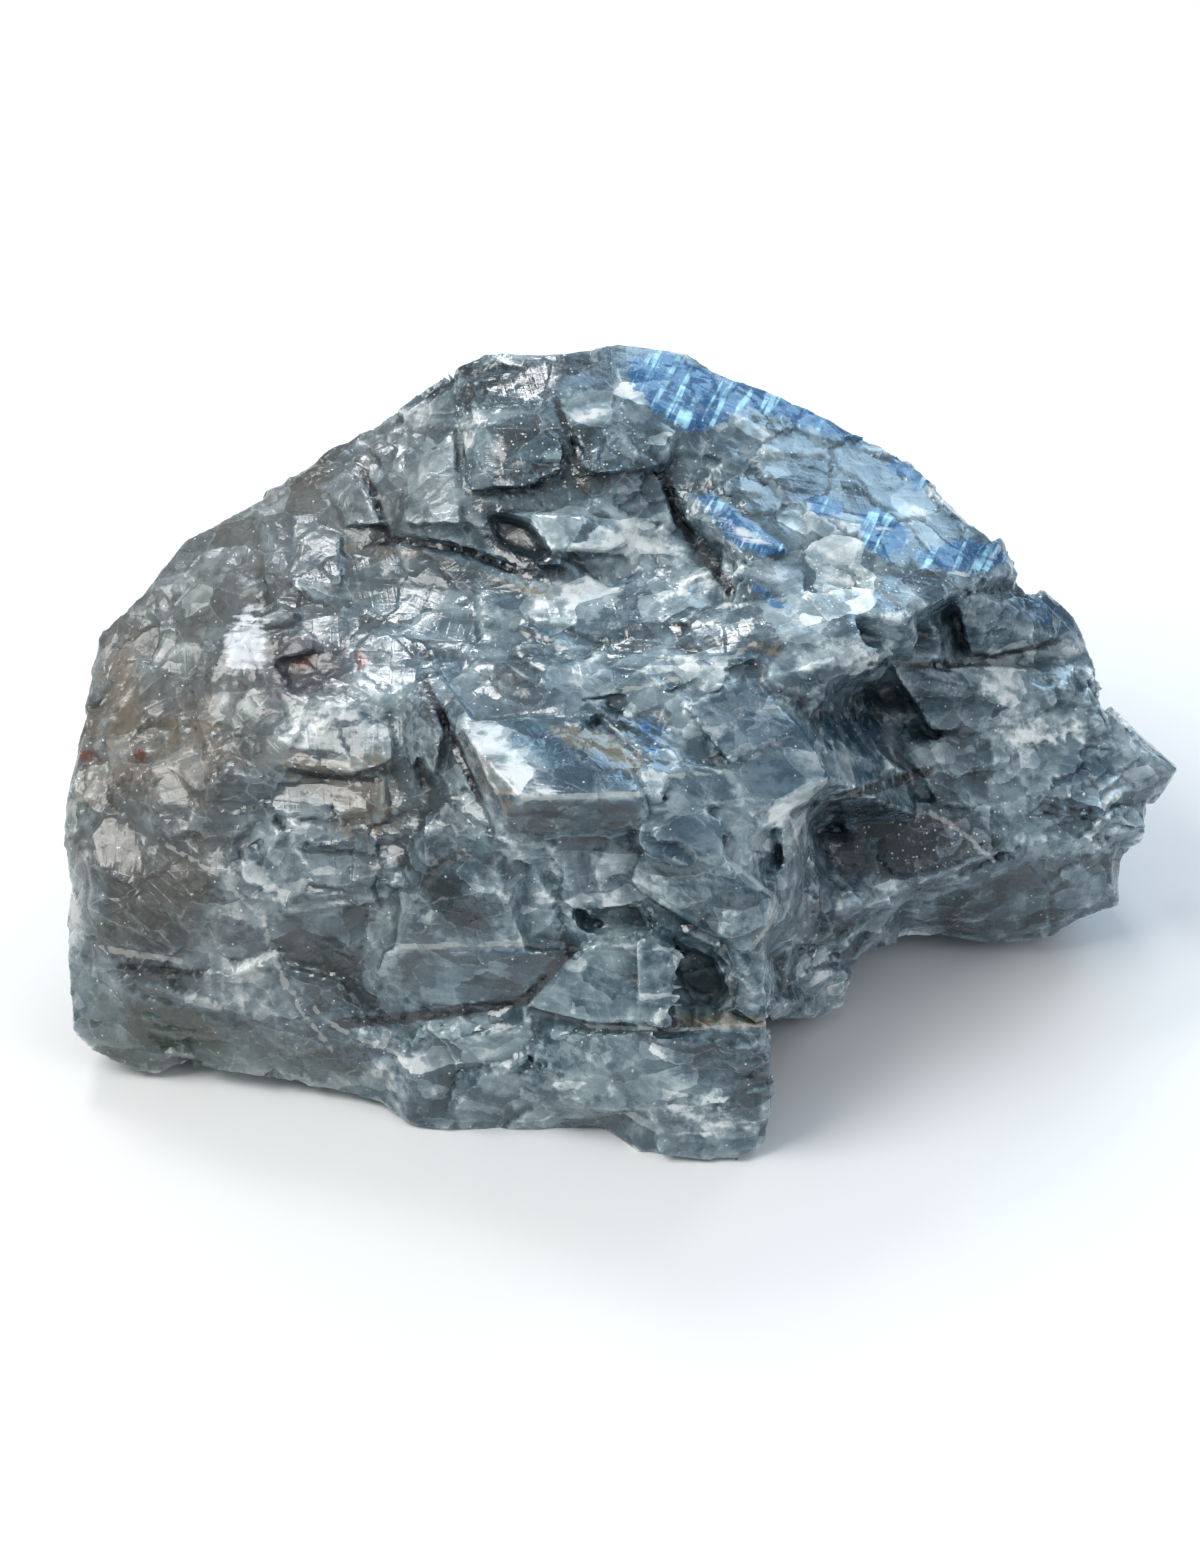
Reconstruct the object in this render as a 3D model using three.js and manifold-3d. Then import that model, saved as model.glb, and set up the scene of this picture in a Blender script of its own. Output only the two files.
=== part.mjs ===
// A hand-sized piece of rough blue-grey calcite, about 114 mm wide, 78 mm deep and 56 mm high, lying on
// its broken base. The stone is one solid. Its broad forms are a skin through hand-placed corners.
// Cleavage blocks are joined to that skin, and chips, cracks and hollows are cut out of it. The scattered
// blocks and chips follow the rhombohedral cleavage of calcite.
import * as THREE from "three";
import { ConvexGeometry } from "three/addons/geometries/ConvexGeometry.js";
import { mergeVertices } from "three/addons/utils/BufferGeometryUtils.js";
import Module from "manifold-3d";

// Driving dimensions, in millimetres and degrees
const VIEW_ELEVATION = 38; // the corners are laid out as seen from this far above the table
const VIEW_DISTANCE = 330; // from this far away
const VIEW_MIDDLE = new THREE.Vector3(0, 30.4, 24); // the middle of the picture plane, inside the stone
const MIDDLE_V = 42.45; // height on the picture plane of that middle
const RHOMB_ANGLE = 101.92; // between the edges of a cleavage rhomb
const WEATHER_SEED = 8;
// Blocks scattered over the side that shows and over the far side
const SHOWN_BLOCKS = { count: 130, proud: [0.3, 1.3], size: [4, 10] };
const HIDDEN_BLOCKS = { count: 160, proud: [0.5, 1.8], size: [5, 14] };
const MOUTH_LIFT = 2.5; // cracks and hollows are cut from this far above the skin

const wasm = await Module();
wasm.setup();

// A corner is [u, v, z]: u to the right and v up on the picture plane through the stone's middle, z above
// the table. seen() gives the point at that height on the line of sight through (u, v): +X right, +Y away,
// +Z up.
const elevation = THREE.MathUtils.degToRad(VIEW_ELEVATION);
const pictureUp = new THREE.Vector3(0, Math.sin(elevation), Math.cos(elevation));
const toEye = new THREE.Vector3(0, -Math.cos(elevation), Math.sin(elevation));
const eye = VIEW_MIDDLE.clone().addScaledVector(toEye, VIEW_DISTANCE);

// From the eye to the point (u, v) of the picture plane
function sightThrough(u, v) {
  const onPicture = VIEW_MIDDLE.clone().addScaledVector(pictureUp, v - MIDDLE_V);
  onPicture.x += u;
  return onPicture.sub(eye);
}

function seen([u, v, z]) {
  const sight = sightThrough(u, v);
  return eye.clone().addScaledVector(sight, (z - eye.z) / sight.z);
}

// The [u, v] at which a point is seen
function onPicturePlane(point) {
  const sight = point.clone().sub(eye);
  sight.multiplyScalar(VIEW_DISTANCE / -sight.dot(toEye));
  return [sight.x, MIDDLE_V + sight.dot(pictureUp)];
}

// The outline of the stone as seen, clockwise from its lower left corner
const OUTLINE = [
  [-52.8, 17.0, 6], [-51.0, 14.8, 3], [-46.0, 12.7, 1], [-40.5, 13.6, 2], [-31.0, 12.0, 2],
  [-22.8, 10.0, 1], [-19.5, 7.6, 0.5], [-16.0, 6.8, 0], [-8.0, 7.0, 0], [0.3, 7.1, 0], [3.5, 4.8, 0],
  [9.0, 4.2, 0], [14.0, 3.7, 0], [16.8, 6.5, 2], [17.6, 9.5, 6], [17.2, 15.0, 12], [16.8, 17.9, 14],
  [17.5, 17.8, 2], [22.2, 18.3, 2], [24.5, 19.4, 3], [27.0, 21.8, 5], [26.2, 24.3, 7], [30.5, 26.4, 4],
  [33.0, 26.7, 4], [39.0, 25.6, 2], [42.5, 25.6, 2], [48.0, 27.8, 4], [52.3, 29.4, 6], [52.4, 33.8, 10],
  [53.7, 35.5, 13], [55.6, 37.2, 15], [54.9, 38.6, 16], [57.8, 43.2, 20], [54.0, 46.5, 22],
  [50.6, 49.8, 25], [51.0, 51.4, 26], [49.0, 55.2, 28], [47.2, 59.0, 31], [45.0, 60.8, 33],
  [42.2, 61.5, 34], [41.6, 64.5, 37], [40.0, 66.3, 39], [37.8, 66.8, 41], [35.0, 70.5, 43],
  [31.5, 73.8, 45], [27.0, 76.0, 46], [19.0, 80.2, 50], [11.5, 82.8, 53], [9.0, 84.7, 54],
  [2.0, 85.7, 56], [-4.0, 84.6, 56], [-11.0, 84.8, 55], [-16.0, 82.2, 52], [-20.0, 79.5, 49],
  [-20.7, 78.2, 48], [-25.0, 76.0, 46], [-29.8, 73.5, 45], [-35.0, 69.5, 42], [-41.5, 66.0, 39],
  [-45.5, 61.0, 37], [-50.3, 56.5, 33], [-51.0, 51.0, 30], [-53.0, 44.0, 26], [-53.8, 37.2, 22],
  [-53.0, 32.5, 18], [-53.4, 25.0, 12],
];

// Corners of the side that shows, region by region
const SHOWN = {
  crest: [
    [-12, 80, 54], [-4, 80, 54.5], [4, 81.5, 54.5], [10, 78, 52], [16, 76, 50], [23, 73, 46.5],
    [30, 70, 44], [-18, 77, 49], [-25, 72, 45.5], [-32, 67, 42], [-39, 63, 39],
  ],
  plateau: [
    [-16, 70, 48], [-10, 71, 48.5], [-4, 73, 50], [0, 68, 47], [4, 64, 43], [10, 64, 43], [16, 67, 46],
    [25, 66, 44.5], [33, 64, 43], [38, 62, 40], [-30, 61, 41.5], [-22, 62, 41], [-13, 61, 41.5],
    [-4, 60, 42], [5, 58, 41.5], [15, 57, 42.5], [25, 56, 42.5], [30, 58, 42.5], [36, 61, 41],
  ],
  rim: [
    [-35, 55, 38], [-27, 52, 38], [-20, 51, 39], [-16, 52, 39.5], [-4, 52, 40], [4, 48, 39],
    [10, 50, 39.5], [19, 50, 39], [27, 54, 40.5], [40, 63.5, 39.5],
  ],
  crystal: [
    [-14.5, 47.8, 39], [-9.5, 41, 37.5], [4.5, 40.3, 36.5], [4, 43.5, 37.5], [-9, 36.8, 33],
    [-4, 36, 31.5], [4, 36.8, 32.5],
  ],
  front: [
    [-15, 40, 33], [-7, 33, 27.5], [0, 32, 27], [-4, 30, 24.5], [12, 34, 31.5], [17.5, 29.5, 26.5],
    [16, 24.5, 22], [14, 25.2, 22], [5, 32, 27], [-17, 40.5, 32], [-20, 32, 25], [-20.5, 25, 19.5],
    [-6, 25.5, 20.5], [-8, 30, 24.5], [23, 42, 34], [20, 30, 20], [17, 24, 14],
  ],
  leftBrow: [
    [-27, 48, 37], [-22, 43, 33], [-35, 35, 26], [-30, 30, 22], [-27, 25, 17.5], [-30, 20, 12],
    [-20, 17, 11], [-12, 14, 8.5], [-4, 16, 11], [0, 22, 17],
  ],
  leftFlank: [
    [-48, 52, 31.5], [-43, 56, 34.5], [-40, 50, 34], [-45, 42, 28], [-50, 40, 25.5], [-40, 40, 29],
    [-50, 32, 20.5], [-43, 33, 22.5], [-37, 30, 22], [-49, 23, 12.5], [-42, 24, 14.5], [-35, 21, 12.5],
    [-48, 17, 6.5], [-40, 17, 7], [-30, 15, 6],
  ],
  toe: [
    [7, 19.5, 15.5], [16.5, 19.5, 15.5], [6, 17, 15], [16.7, 17.2, 15], [5, 10, 7], [14, 9, 6],
    [0, 10, 5], [-4, 11, 6], [-12, 10, 4],
  ],
  wing: [
    [36, 59, 33], [40, 60, 33.5], [45, 58, 31.5], [36, 52, 29], [45, 52, 27.5], [28, 46, 26],
    [40, 44, 24], [50, 44, 21.5], [23, 37, 19], [33, 38, 20], [43, 37, 18], [52, 38, 17], [22, 27, 12],
    [30, 31, 14], [41, 33, 14.5], [49, 35, 14.5], [28, 51, 29], [40, 28, 7],
  ],
};

// Corners of the base on the table, which lies on the hidden side
const BASE = [
  [-44, 16, 0], [-30, 15, 0], [-16, 9, 0], [0, 9.5, 0], [12, 7, 0], [15, 12, 0], [20, 21, 0],
  [33, 29, 0], [45, 31, 0], [46, 36, 0], [36, 42, 0], [18, 44, 0], [0, 45, 0], [-20, 44, 0],
  [-36, 38, 0], [-46, 27, 0], [-25, 28, 0], [0, 26, 0], [20, 34, 0],
];

// Corners of the far side, [x, y, z], row above row
const FAR_SIDE = [
  [-48, 42, 8], [-41, 52, 6], [-32, 57, 9], [-23, 66, 5], [-14, 67, 9], [-4, 72, 6], [6, 68, 8],
  [16, 71, 5], [26, 64, 8], [36, 61, 6], [43, 51, 8], [49, 44, 9], [-49, 41, 20], [-43, 51, 17],
  [-35, 60, 21], [-26, 62, 16], [-15, 73, 20], [-6, 70, 17], [7, 76, 19], [17, 71, 22], [28, 70, 17],
  [37, 59, 20], [45, 52, 18], [-42, 54, 30], [-30, 63, 33], [-20, 65, 29], [-9, 72, 34], [2, 69, 30],
  [13, 74, 35], [22, 66, 31], [32, 64, 31], [-30, 58, 40], [-18, 61, 43], [-9, 62, 47], [4, 66, 46],
  [14, 62, 44], [24, 61, 39],
];

// Delaunay triangulation of points in the picture plane, by adding one point after another
function triangulate(points) {
  const far = 1e4;
  const at = [...points, [-far, -far], [far, -far], [0, far]];
  let triangles = [[at.length - 3, at.length - 2, at.length - 1]];
  const insideCircle = ([a, b, c], p) => {
    const [ax, ay, bx, by, cx, cy] = [a, b, c].flatMap((i) => [at[i][0] - p[0], at[i][1] - p[1]]);
    const [aa, bb, cc] = [ax * ax + ay * ay, bx * bx + by * by, cx * cx + cy * cy];
    return ax * (by * cc - bb * cy) - ay * (bx * cc - bb * cx) + aa * (bx * cy - by * cx) > 0;
  };
  points.forEach((p, index) => {
    const hit = triangles.filter((t) => insideCircle(t, p));
    const edges = hit.flatMap(([a, b, c]) => [[a, b], [b, c], [c, a]]);
    const rim = edges.filter(([a, b]) => !edges.some(([c, d]) => a === d && b === c));
    triangles = triangles.filter((t) => !hit.includes(t)).concat(rim.map(([a, b]) => [a, b, index]));
  });
  return triangles.filter((t) => t.every((i) => i < points.length));
}

function inside(outline, u, v) {
  return outline.reduce((isInside, [u1, v1], i) => {
    const [u2, v2] = outline[(i + 1) % outline.length];
    const crosses = v1 > v !== v2 > v && u < u1 + ((v - v1) / (v2 - v1)) * (u2 - u1);
    return crosses ? !isInside : isInside;
  }, false);
}

// The triangles of one side of the skin: those whose middle lies inside the outline
function sideTriangles(outline, corners) {
  const all = [...outline, ...corners];
  return triangulate(all.map(([u, v]) => [u, v])).filter((t) => {
    const [u, v] = [0, 1].map((k) => (all[t[0]][k] + all[t[1]][k] + all[t[2]][k]) / 3);
    return inside(outline, u, v);
  });
}

// The closed skin: both sides share the outline, and the hidden side's faces are turned round. Where a
// side has no triangle along a stretch of the outline, that stretch is halved and both sides are made
// again.
function skin(outline = OUTLINE) {
  const shown = Object.values(SHOWN).flat();
  const farSide = FAR_SIDE.map(([x, y, z]) => [...onPicturePlane(new THREE.Vector3(x, y, z)), z]);
  const hidden = [...BASE, ...farSide];
  const sides = [sideTriangles(outline, shown), sideTriangles(outline, hidden)];
  const edgesOf = ([a, b, c]) => [`${a},${b}`, `${b},${c}`, `${c},${a}`];
  const edges = sides.map((side) => new Set(side.flatMap(edgesOf)));
  const next = (i) => (i + 1) % outline.length;
  const isWhole = (i) => edges.every((set) => set.has(`${i},${next(i)}`) || set.has(`${next(i)},${i}`));
  const refined = outline.flatMap((p, i) => {
    const middle = p.map((value, k) => (value + outline[next(i)][k]) / 2);
    return isWhole(i) ? [p] : [p, middle];
  });
  if (refined.length > outline.length) return skin(refined);
  const indexOf = (i) => (i < outline.length ? i : i + shown.length);
  const back = sides[1].map(([a, b, c]) => [indexOf(a), indexOf(c), indexOf(b)]);
  const geometry = new THREE.BufferGeometry().setFromPoints([...outline, ...shown, ...hidden].map(seen));
  geometry.setIndex([...sides[0], ...back].flat());
  const corners = [...outline, ...shown];
  return { geometry, shownFaces: sides[0].map((t) => t.map((i) => corners[i])) };
}

const { geometry: skinGeometry, shownFaces } = skin();

// The point of the shown skin seen at (u, v), moved towards the eye by lift
function onSkin([u, v, lift]) {
  for (const [a, b, c] of shownFaces) {
    const area = (b[0] - a[0]) * (c[1] - a[1]) - (c[0] - a[0]) * (b[1] - a[1]);
    const p = ((b[0] - u) * (c[1] - v) - (c[0] - u) * (b[1] - v)) / area;
    const q = ((c[0] - u) * (a[1] - v) - (a[0] - u) * (c[1] - v)) / area;
    if (Math.min(p, q, 1 - p - q) < -1e-9) continue;
    const point = seen([u, v, p * a[2] + q * b[2] + (1 - p - q) * c[2]]);
    return point.addScaledVector(eye.clone().sub(point).normalize(), lift);
  }
  throw new Error(`(${u}, ${v}) is outside the outline`);
}

function solid(geometry) {
  const bare = new THREE.BufferGeometry().setAttribute("position", geometry.getAttribute("position"));
  const merged = mergeVertices(geometry.index ? bare.setIndex(geometry.index) : bare, 1e-4);
  return new wasm.Manifold(
    new wasm.Mesh({
      numProp: 3,
      vertProperties: merged.attributes.position.array,
      triVerts: new Uint32Array(merged.index.array),
    }),
  );
}

const hull = (points) => solid(new ConvexGeometry(points));

// A block that stands out of the skin: the hull of its corners and of the same corners sunk into the stone
function block(corners, sunk = 6) {
  return hull([...corners, ...corners.map(([u, v, lift]) => [u, v, lift - sunk])].map(onSkin));
}

// A crack along a path: a wedge of that width at the skin, closing at its depth and towards both ends of
// the path
function crack(path, width, depth) {
  const endShare = 0.25;
  const shareAt = (i) => (i === 0 || i === path.length - 1 ? endShare : 1);
  return path.slice(1).map(([u2, v2], i) => {
    const [u1, v1] = path[i];
    const length = Math.hypot(u2 - u1, v2 - v1);
    const [acrossU, acrossV] = [-(v2 - v1) / length, (u2 - u1) / length];
    const ends = [[u1, v1, shareAt(i)], [u2, v2, shareAt(i + 1)]];
    const mouth = ends.flatMap(([u, v, share]) =>
      [1, -1].map((sign) => {
        const offset = (sign * share * width) / 2;
        return [u + acrossU * offset, v + acrossV * offset, MOUTH_LIFT];
      }),
    );
    return hull([...mouth, ...ends.map(([u, v, share]) => [u, v, -depth * share])].map(onSkin));
  });
}

// A hollow: its outline at the skin, narrowing to a floor of that share of its size at its depth
function hollow(outline, depth, floor = 0.55) {
  const middle = [0, 1].map((k) => outline.reduce((sum, p) => sum + p[k], 0) / outline.length);
  const towardsMiddle = (value, k) => middle[k] + (value - middle[k]) * floor;
  const narrowed = outline.map(([u, v]) => [towardsMiddle(u, 0), towardsMiddle(v, 1), -depth]);
  return hull([...outline.map(([u, v]) => [u, v, MOUTH_LIFT]), ...narrowed].map(onSkin));
}

// Blocks and crystals that stand out of the skin, by corners [u, v, lift]
const BLOCKS = {
  centralCrystal: [
    [-14.0, 47.7, 1.2], [-11, 48, 1.2], [-6, 48.2, 1], [-1.7, 46.1, 1], [2.9, 43.2, 1.6],
    [4.4, 40.6, 2.6], [-7.4, 40.2, 3.2], [-12.6, 45.3, 2.4], [-9.5, 38.2, 2.4], [-8, 36.9, 1.6],
    [-4, 36.3, 1.6], [2, 36.4, 1.6], [4.4, 37.6, 1.8],
  ],
  leftFin: [[-19.5, 51, 0.6], [-16.6, 52.5, 1.2], [-15.6, 48, 1.8], [-16.5, 42.5, 1.6], [-19, 43.5, 0.8]],
  innerFin: [[-15.9, 52.3, 1.4], [-13, 48.6, 2], [-14.6, 45.8, 1.6]],
  slab: [
    [-15.4, 39.9, 1.4], [-9.9, 33.6, 1.6], [-7.4, 25.7, 1.8], [-20.4, 25.4, 1.6], [-20, 30.5, 1.2],
    [-18.9, 34.9, 1],
  ],
  slabFoot: [
    [-21.5, 25, 1.9], [-3.2, 25, 1.9], [-4.5, 22.6, 1.2], [-8.2, 20, 0.6], [-17, 19.4, 0.6],
    [-22.5, 22.3, 1],
  ],
  pyramid: [
    [-2.6, 24.6, 1.2], [-7.6, 19.4, 0.6], [0.2, 17.6, 2], [7, 17.2, 2.2], [6.8, 21.7, 1.8],
    [4, 25.4, 1.4], [0.5, 26, 1],
  ],
  toe: [
    [5.7, 16.2, 1.6], [16.2, 16.9, 1.4], [16.9, 12, 1.6], [17, 9.6, 1], [15.8, 6.4, 0.8], [8, 6, 0.8],
    [5, 8, 1.2],
  ],
  footLeft: [[-5, 16.4, 0.8], [5.2, 16.9, 1.2], [4.8, 9, 1], [-0.5, 8.4, 0.4], [-6, 9, 0.5]],
  footCorner: [[-18, 17.5, 0.8], [-7.5, 17.2, 1], [-6.5, 11, 0.8], [-14, 9, 0.4], [-20, 12.5, 0.5]],
  overhang: [
    [4.3, 34.7, 1.8], [12.4, 34.2, 2], [16, 32.9, 1.6], [17.9, 30, 1], [17.2, 28.3, 1.2], [15.1, 25.3, 2],
    [14.2, 24.8, 2.2], [6.3, 29.3, 2.2], [2.8, 31.9, 1.6], [14, 31.5, 2.6], [12.2, 28.1, 3],
  ],
  glossyKnob: [
    [3.9, 38.9, 1.2], [8, 39.6, 1.4], [12.1, 38.1, 1.6], [12.4, 34.6, 2], [8.3, 33.2, 2.8],
    [5, 34.8, 2.4],
  ],
  knobNeighbour: [
    [12.1, 38.6, 0.7], [15.2, 39.1, 0.7], [18.3, 37.2, 0.7], [17.8, 33.4, 0.9], [14.6, 32.5, 1.3],
  ],
  rimBlockLeft: [[8.3, 49.3, 1.2], [15.5, 52, 0.8], [20, 47.4, 1.4], [13.1, 43.6, 2]],
  rimBlockRight: [
    [13.2, 43.2, 1], [20.2, 47.1, 0.8], [23, 42.6, 1.2], [21.4, 41.2, 1.4], [20.8, 39.6, 1.4],
    [15.3, 38.9, 1.2],
  ],
  rimBlockFar: [[16.2, 52, 1], [23.4, 54.3, 0.8], [25.4, 52.2, 0.8], [21, 48.6, 1.4]],
  smallBlocks: [
    [4.9, 43.4, 1], [9, 43.6, 1.2], [12.8, 43, 1], [14.6, 39.4, 1], [9, 39.4, 1.2], [5, 40.2, 1],
  ],
  backShelf: [
    [-12, 53.6, 0.6], [2, 54.6, 1], [16, 54.4, 1.2], [6, 50.8, 1.6], [-2, 50.2, 1.2], [-9, 51, 0.8],
  ],
  sheenSlab: [[8.7, 70.8, 0.6], [12.3, 69.9, 1.4], [18.6, 65, 1.8], [15, 63.9, 1.4], [10.5, 66.3, 0.8]],
  rightSheen: [[20, 70, 0.6], [30, 67.6, 0.8], [38.5, 64.6, 0.6], [30, 63, 0.8], [21, 65, 1]],
  crestSheen: [[3, 83.8, 0.4], [10, 83, 0.6], [18, 79.4, 0.4], [14, 77.6, 0.8], [7, 77.4, 1]],
  lumpLeft: [[-27, 71.6, 0.4], [-23.8, 73.4, 0.8], [-21.2, 67.6, 1.2], [-25.4, 67.4, 0.8]],
  lumpMiddle: [[-19.4, 77.6, 0.4], [-14.7, 77.8, 0.6], [-14, 67.6, 2], [-19.6, 67.6, 1.8]],
  lumpRight: [
    [-13.8, 77, 0.6], [-10.3, 79.4, 0.4], [-4.4, 78.6, 0.6], [-3.6, 73.4, 1.6], [-7.4, 71.4, 2],
    [-13, 71, 2],
  ],
  lumpFar: [[-2.8, 79, 0.4], [4.6, 80, 0.4], [7.2, 76.4, 0.8], [6.8, 73.4, 1.4], [-1.2, 72.6, 1.8]],
  hollowLip: [[-12, 69, 0.8], [-2, 68.6, 0.8], [3, 66, 1], [-2, 63.6, 1.6], [-6, 63.4, 1.4]],
  leftPane: [[-34, 69, 0.4], [-26, 66.4, 0.8], [-25.8, 61.6, 1.2], [-33.4, 61.8, 1]],
  nose: [
    [-34, 47, 0.4], [-27, 50, 0.8], [-21, 47.2, 1.4], [-20.6, 44.2, 2], [-24, 42.6, 2.2],
    [-34.6, 44.2, 1],
  ],
  noseTooth: [[-27, 42, 0.2], [-21.6, 42.4, 0.8], [-21.4, 38.4, 1.2], [-26, 37.6, 0.8]],
  leftStep: [[-46, 33, 0.8], [-36, 33.4, 0.8], [-33, 27.4, 1.4], [-44, 24.4, 1.2], [-48, 27, 0.8]],
  leftKnuckle: [[-46, 45.4, 0.4], [-39, 46.6, 0.8], [-38.4, 39, 1.4], [-45.4, 38, 1.2]],
  lowerLeft: [[-49, 22, 0.8], [-39, 23, 1.2], [-36.6, 17, 0.8], [-46, 15, 0.4]],
  lowerMiddle: [[-34, 24, 0.8], [-26, 22, 1.2], [-22, 16.4, 1], [-31, 14.4, 0.5], [-36, 18.4, 0.8]],
  middleLeft: [[-33, 38, 0.6], [-24, 36.6, 1], [-22.4, 30, 1.4], [-31.6, 28.4, 1.2]],
  wingTop: [[35.5, 60.4, 0.4], [45, 60, 0.4], [48.6, 55, 0.6], [37, 54.6, 1.4]],
  wingUpper: [[29, 53.8, 0.6], [48, 53, 0.8], [50, 47.4, 0.8], [33, 47, 1.4]],
  wingLower: [[30, 46, 0.6], [50, 46.4, 0.6], [53.6, 43, 0.6], [50, 38.6, 1.4], [34, 39.4, 1.2]],
  wingBlade: [[22.5, 36.1, 0.8], [32.5, 39.9, 1], [39.4, 34.4, 2.4], [30, 30.4, 2.2], [25.6, 29.6, 1.6]],
  wingFace: [[21.4, 45.3, 0.2], [24.4, 46.6, 0.2], [31, 42.8, 1], [22.2, 38, 0.6]],
  wingTip: [[49, 46.4, 0.4], [53.6, 46, 0.1], [57, 43.3, 0.1], [54.6, 39.6, 0.1], [50, 40, 0.4]],
  wingRidge: [[33, 39.6, 0.8], [44, 40.4, 0.8], [51, 38, 0.8], [49.6, 35.8, 1.8], [40.6, 34.6, 2.2]],
  wingBelly: [
    [39.4, 33.6, 1.6], [44.5, 35.4, 1.4], [51, 34.8, 1], [51.6, 30.6, 0.8], [47.6, 28.6, 0.6],
    [42, 26.6, 0.6], [36, 27, 0.6], [31.6, 27.4, 0.6], [32.4, 29.6, 1],
  ],
  darkPrism: [[18.2, 26, 1], [21, 31.6, 1.2], [26, 30, 1.2], [25.4, 25.2, 0.6]],
  greenPrism: [[17.8, 40, 0.4], [20.6, 39, 0.8], [21.4, 33, 1.2], [18.6, 30.8, 1]],
};

// Cracks by path [u, v] with their width and depth
const CRACKS = [
  { path: [[-3.0, 24.6], [-8.2, 19.4], [-17, 19], [-23, 21]], width: 1.2, depth: 6 },
  { path: [[-24.2, 74], [-22.4, 70], [-21, 66]], width: 1.5, depth: 4 },
  { path: [[-26, 65.2], [-20, 66], [-14, 65], [-8.4, 62.8], [-3.4, 61]], width: 1.9, depth: 4 },
  { path: [[-4.4, 80], [-2.6, 75], [-1.2, 70.6]], width: 1.5, depth: 4 },
  { path: [[6.4, 72.4], [8, 68], [13, 61]], width: 3, depth: 5 },
  { path: [[-17.4, 51.6], [-14.8, 46.4], [-12, 40], [-9.6, 33]], width: 1.5, depth: 3.5 },
  { path: [[-18.4, 45], [-17.6, 42], [-16.8, 38.6]], width: 2.2, depth: 4 },
  { path: [[-1, 17.6], [4, 17.2], [8, 16.8]], width: 1.2, depth: 3.5 },
  { path: [[5.5, 16.8], [5.4, 13], [5, 9]], width: 0.9, depth: 2.5 },
  { path: [[27, 53.6], [36, 53.4], [46, 56]], width: 1.4, depth: 3 },
  { path: [[21.6, 39.6], [27, 41], [33, 43]], width: 1.4, depth: 3 },
  { path: [[-35, 43.6], [-28, 42.2], [-21, 41.4]], width: 1.5, depth: 3 },
  { path: [[19.4, 35], [18, 30], [20.4, 26]], width: 1.2, depth: 3 },
  { path: [[13.6, 60], [21, 60.6], [28, 63]], width: 1, depth: 2 },
];

// Hollows by outline [u, v] with their depth
const HOLLOWS = [
  { outline: [[6.2, 27.8], [12.4, 25.4], [13.8, 22], [13.8, 18.9], [8, 18.7], [6.4, 22]], depth: 4 },
  { outline: [[-4, 29.6], [5, 30], [8, 26.6], [1, 27], [-3.4, 26.8]], depth: 2.4 },
  { outline: [[-12.6, 70], [-7, 68.6], [-4, 64], [-6.6, 63.2], [-11, 65.6]], depth: 1.6 },
  { outline: [[-6, 65], [3, 65.4], [7, 62], [0, 60]], depth: 1.2 },
];

// All that is seen inside the outline, in front of the stone and behind it
function outlineCone() {
  const shape = new THREE.Shape(OUTLINE.map(([u, v]) => new THREE.Vector2(u, v)));
  const cone = new THREE.ExtrudeGeometry(shape, { depth: 1, bevelEnabled: false });
  const [nearEnd, farEnd] = [0.6, 1.6]; // shares of the way from the eye to the picture plane
  const position = cone.getAttribute("position");
  for (let i = 0; i < position.count; i++) {
    const share = position.getZ(i) > 0.5 ? nearEnd : farEnd;
    const sight = sightThrough(position.getX(i), position.getY(i));
    position.setXYZ(i, ...eye.clone().addScaledVector(sight, share));
  }
  return solid(cone);
}

// A seeded source of numbers from 0 to 1, so that the weathering is the same each time
function seededNumbers(seed) {
  let state = seed;
  return () => {
    state = (state * 1664525 + 1013904223) % 4294967296;
    return state / 4294967296;
  };
}

// The three edges of a cleavage rhomb in a grain of the stone: the first runs along `along`, and the face
// that it shares with the second has `up` for its normal, as near as a right angle to the first edge
// allows.
function rhombEdges(along, up) {
  const cosine = Math.cos(THREE.MathUtils.degToRad(RHOMB_ANGLE));
  const x = new THREE.Vector3(...along).normalize();
  const z = new THREE.Vector3(...up).addScaledVector(x, -x.dot(new THREE.Vector3(...up))).normalize();
  const y = z.clone().cross(x);
  const sine = Math.sqrt(1 - cosine * cosine);
  const lean = (cosine - cosine * cosine) / sine;
  const rise = Math.sqrt(1 - cosine * cosine - lean * lean);
  const edge = (...parts) =>
    [x, y, z].reduce((sum, axis, i) => sum.addScaledVector(axis, parts[i]), new THREE.Vector3());
  return [edge(1, 0, 0), edge(cosine, sine, 0), edge(cosine, lean, rise)];
}

// The grains of the stone, by their middles: each one's cleavage rules around it
const grain = (middle, along, up) => {
  return { middle: new THREE.Vector3(...middle), edges: rhombEdges(along, up) };
};
const GRAINS = [
  grain([-32, 25, 30], [0.9, 0.1, 0.3], [-0.3, -0.4, 0.87]),
  grain([-8, 35, 40], [1, -0.1, -0.08], [0.05, -0.3, 0.95]),
  grain([28, 40, 35], [0.95, 0.1, -0.3], [0.3, -0.2, 0.93]),
  grain([-52, 40, 15], [0.3, 0.9, 0.25], [-0.9, 0.25, 0.3]),
  grain([52, 40, 12], [-0.2, 0.95, 0.1], [0.95, 0.15, 0.25]),
  grain([-22, 68, 24], [0.9, 0.35, 0.15], [-0.35, 0.9, 0.2]),
  grain([18, 72, 24], [0.95, -0.25, -0.2], [0.2, 0.9, 0.35]),
  grain([0, 5, 8], [0.97, 0.05, -0.2], [0.1, -0.9, 0.4]),
];

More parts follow.
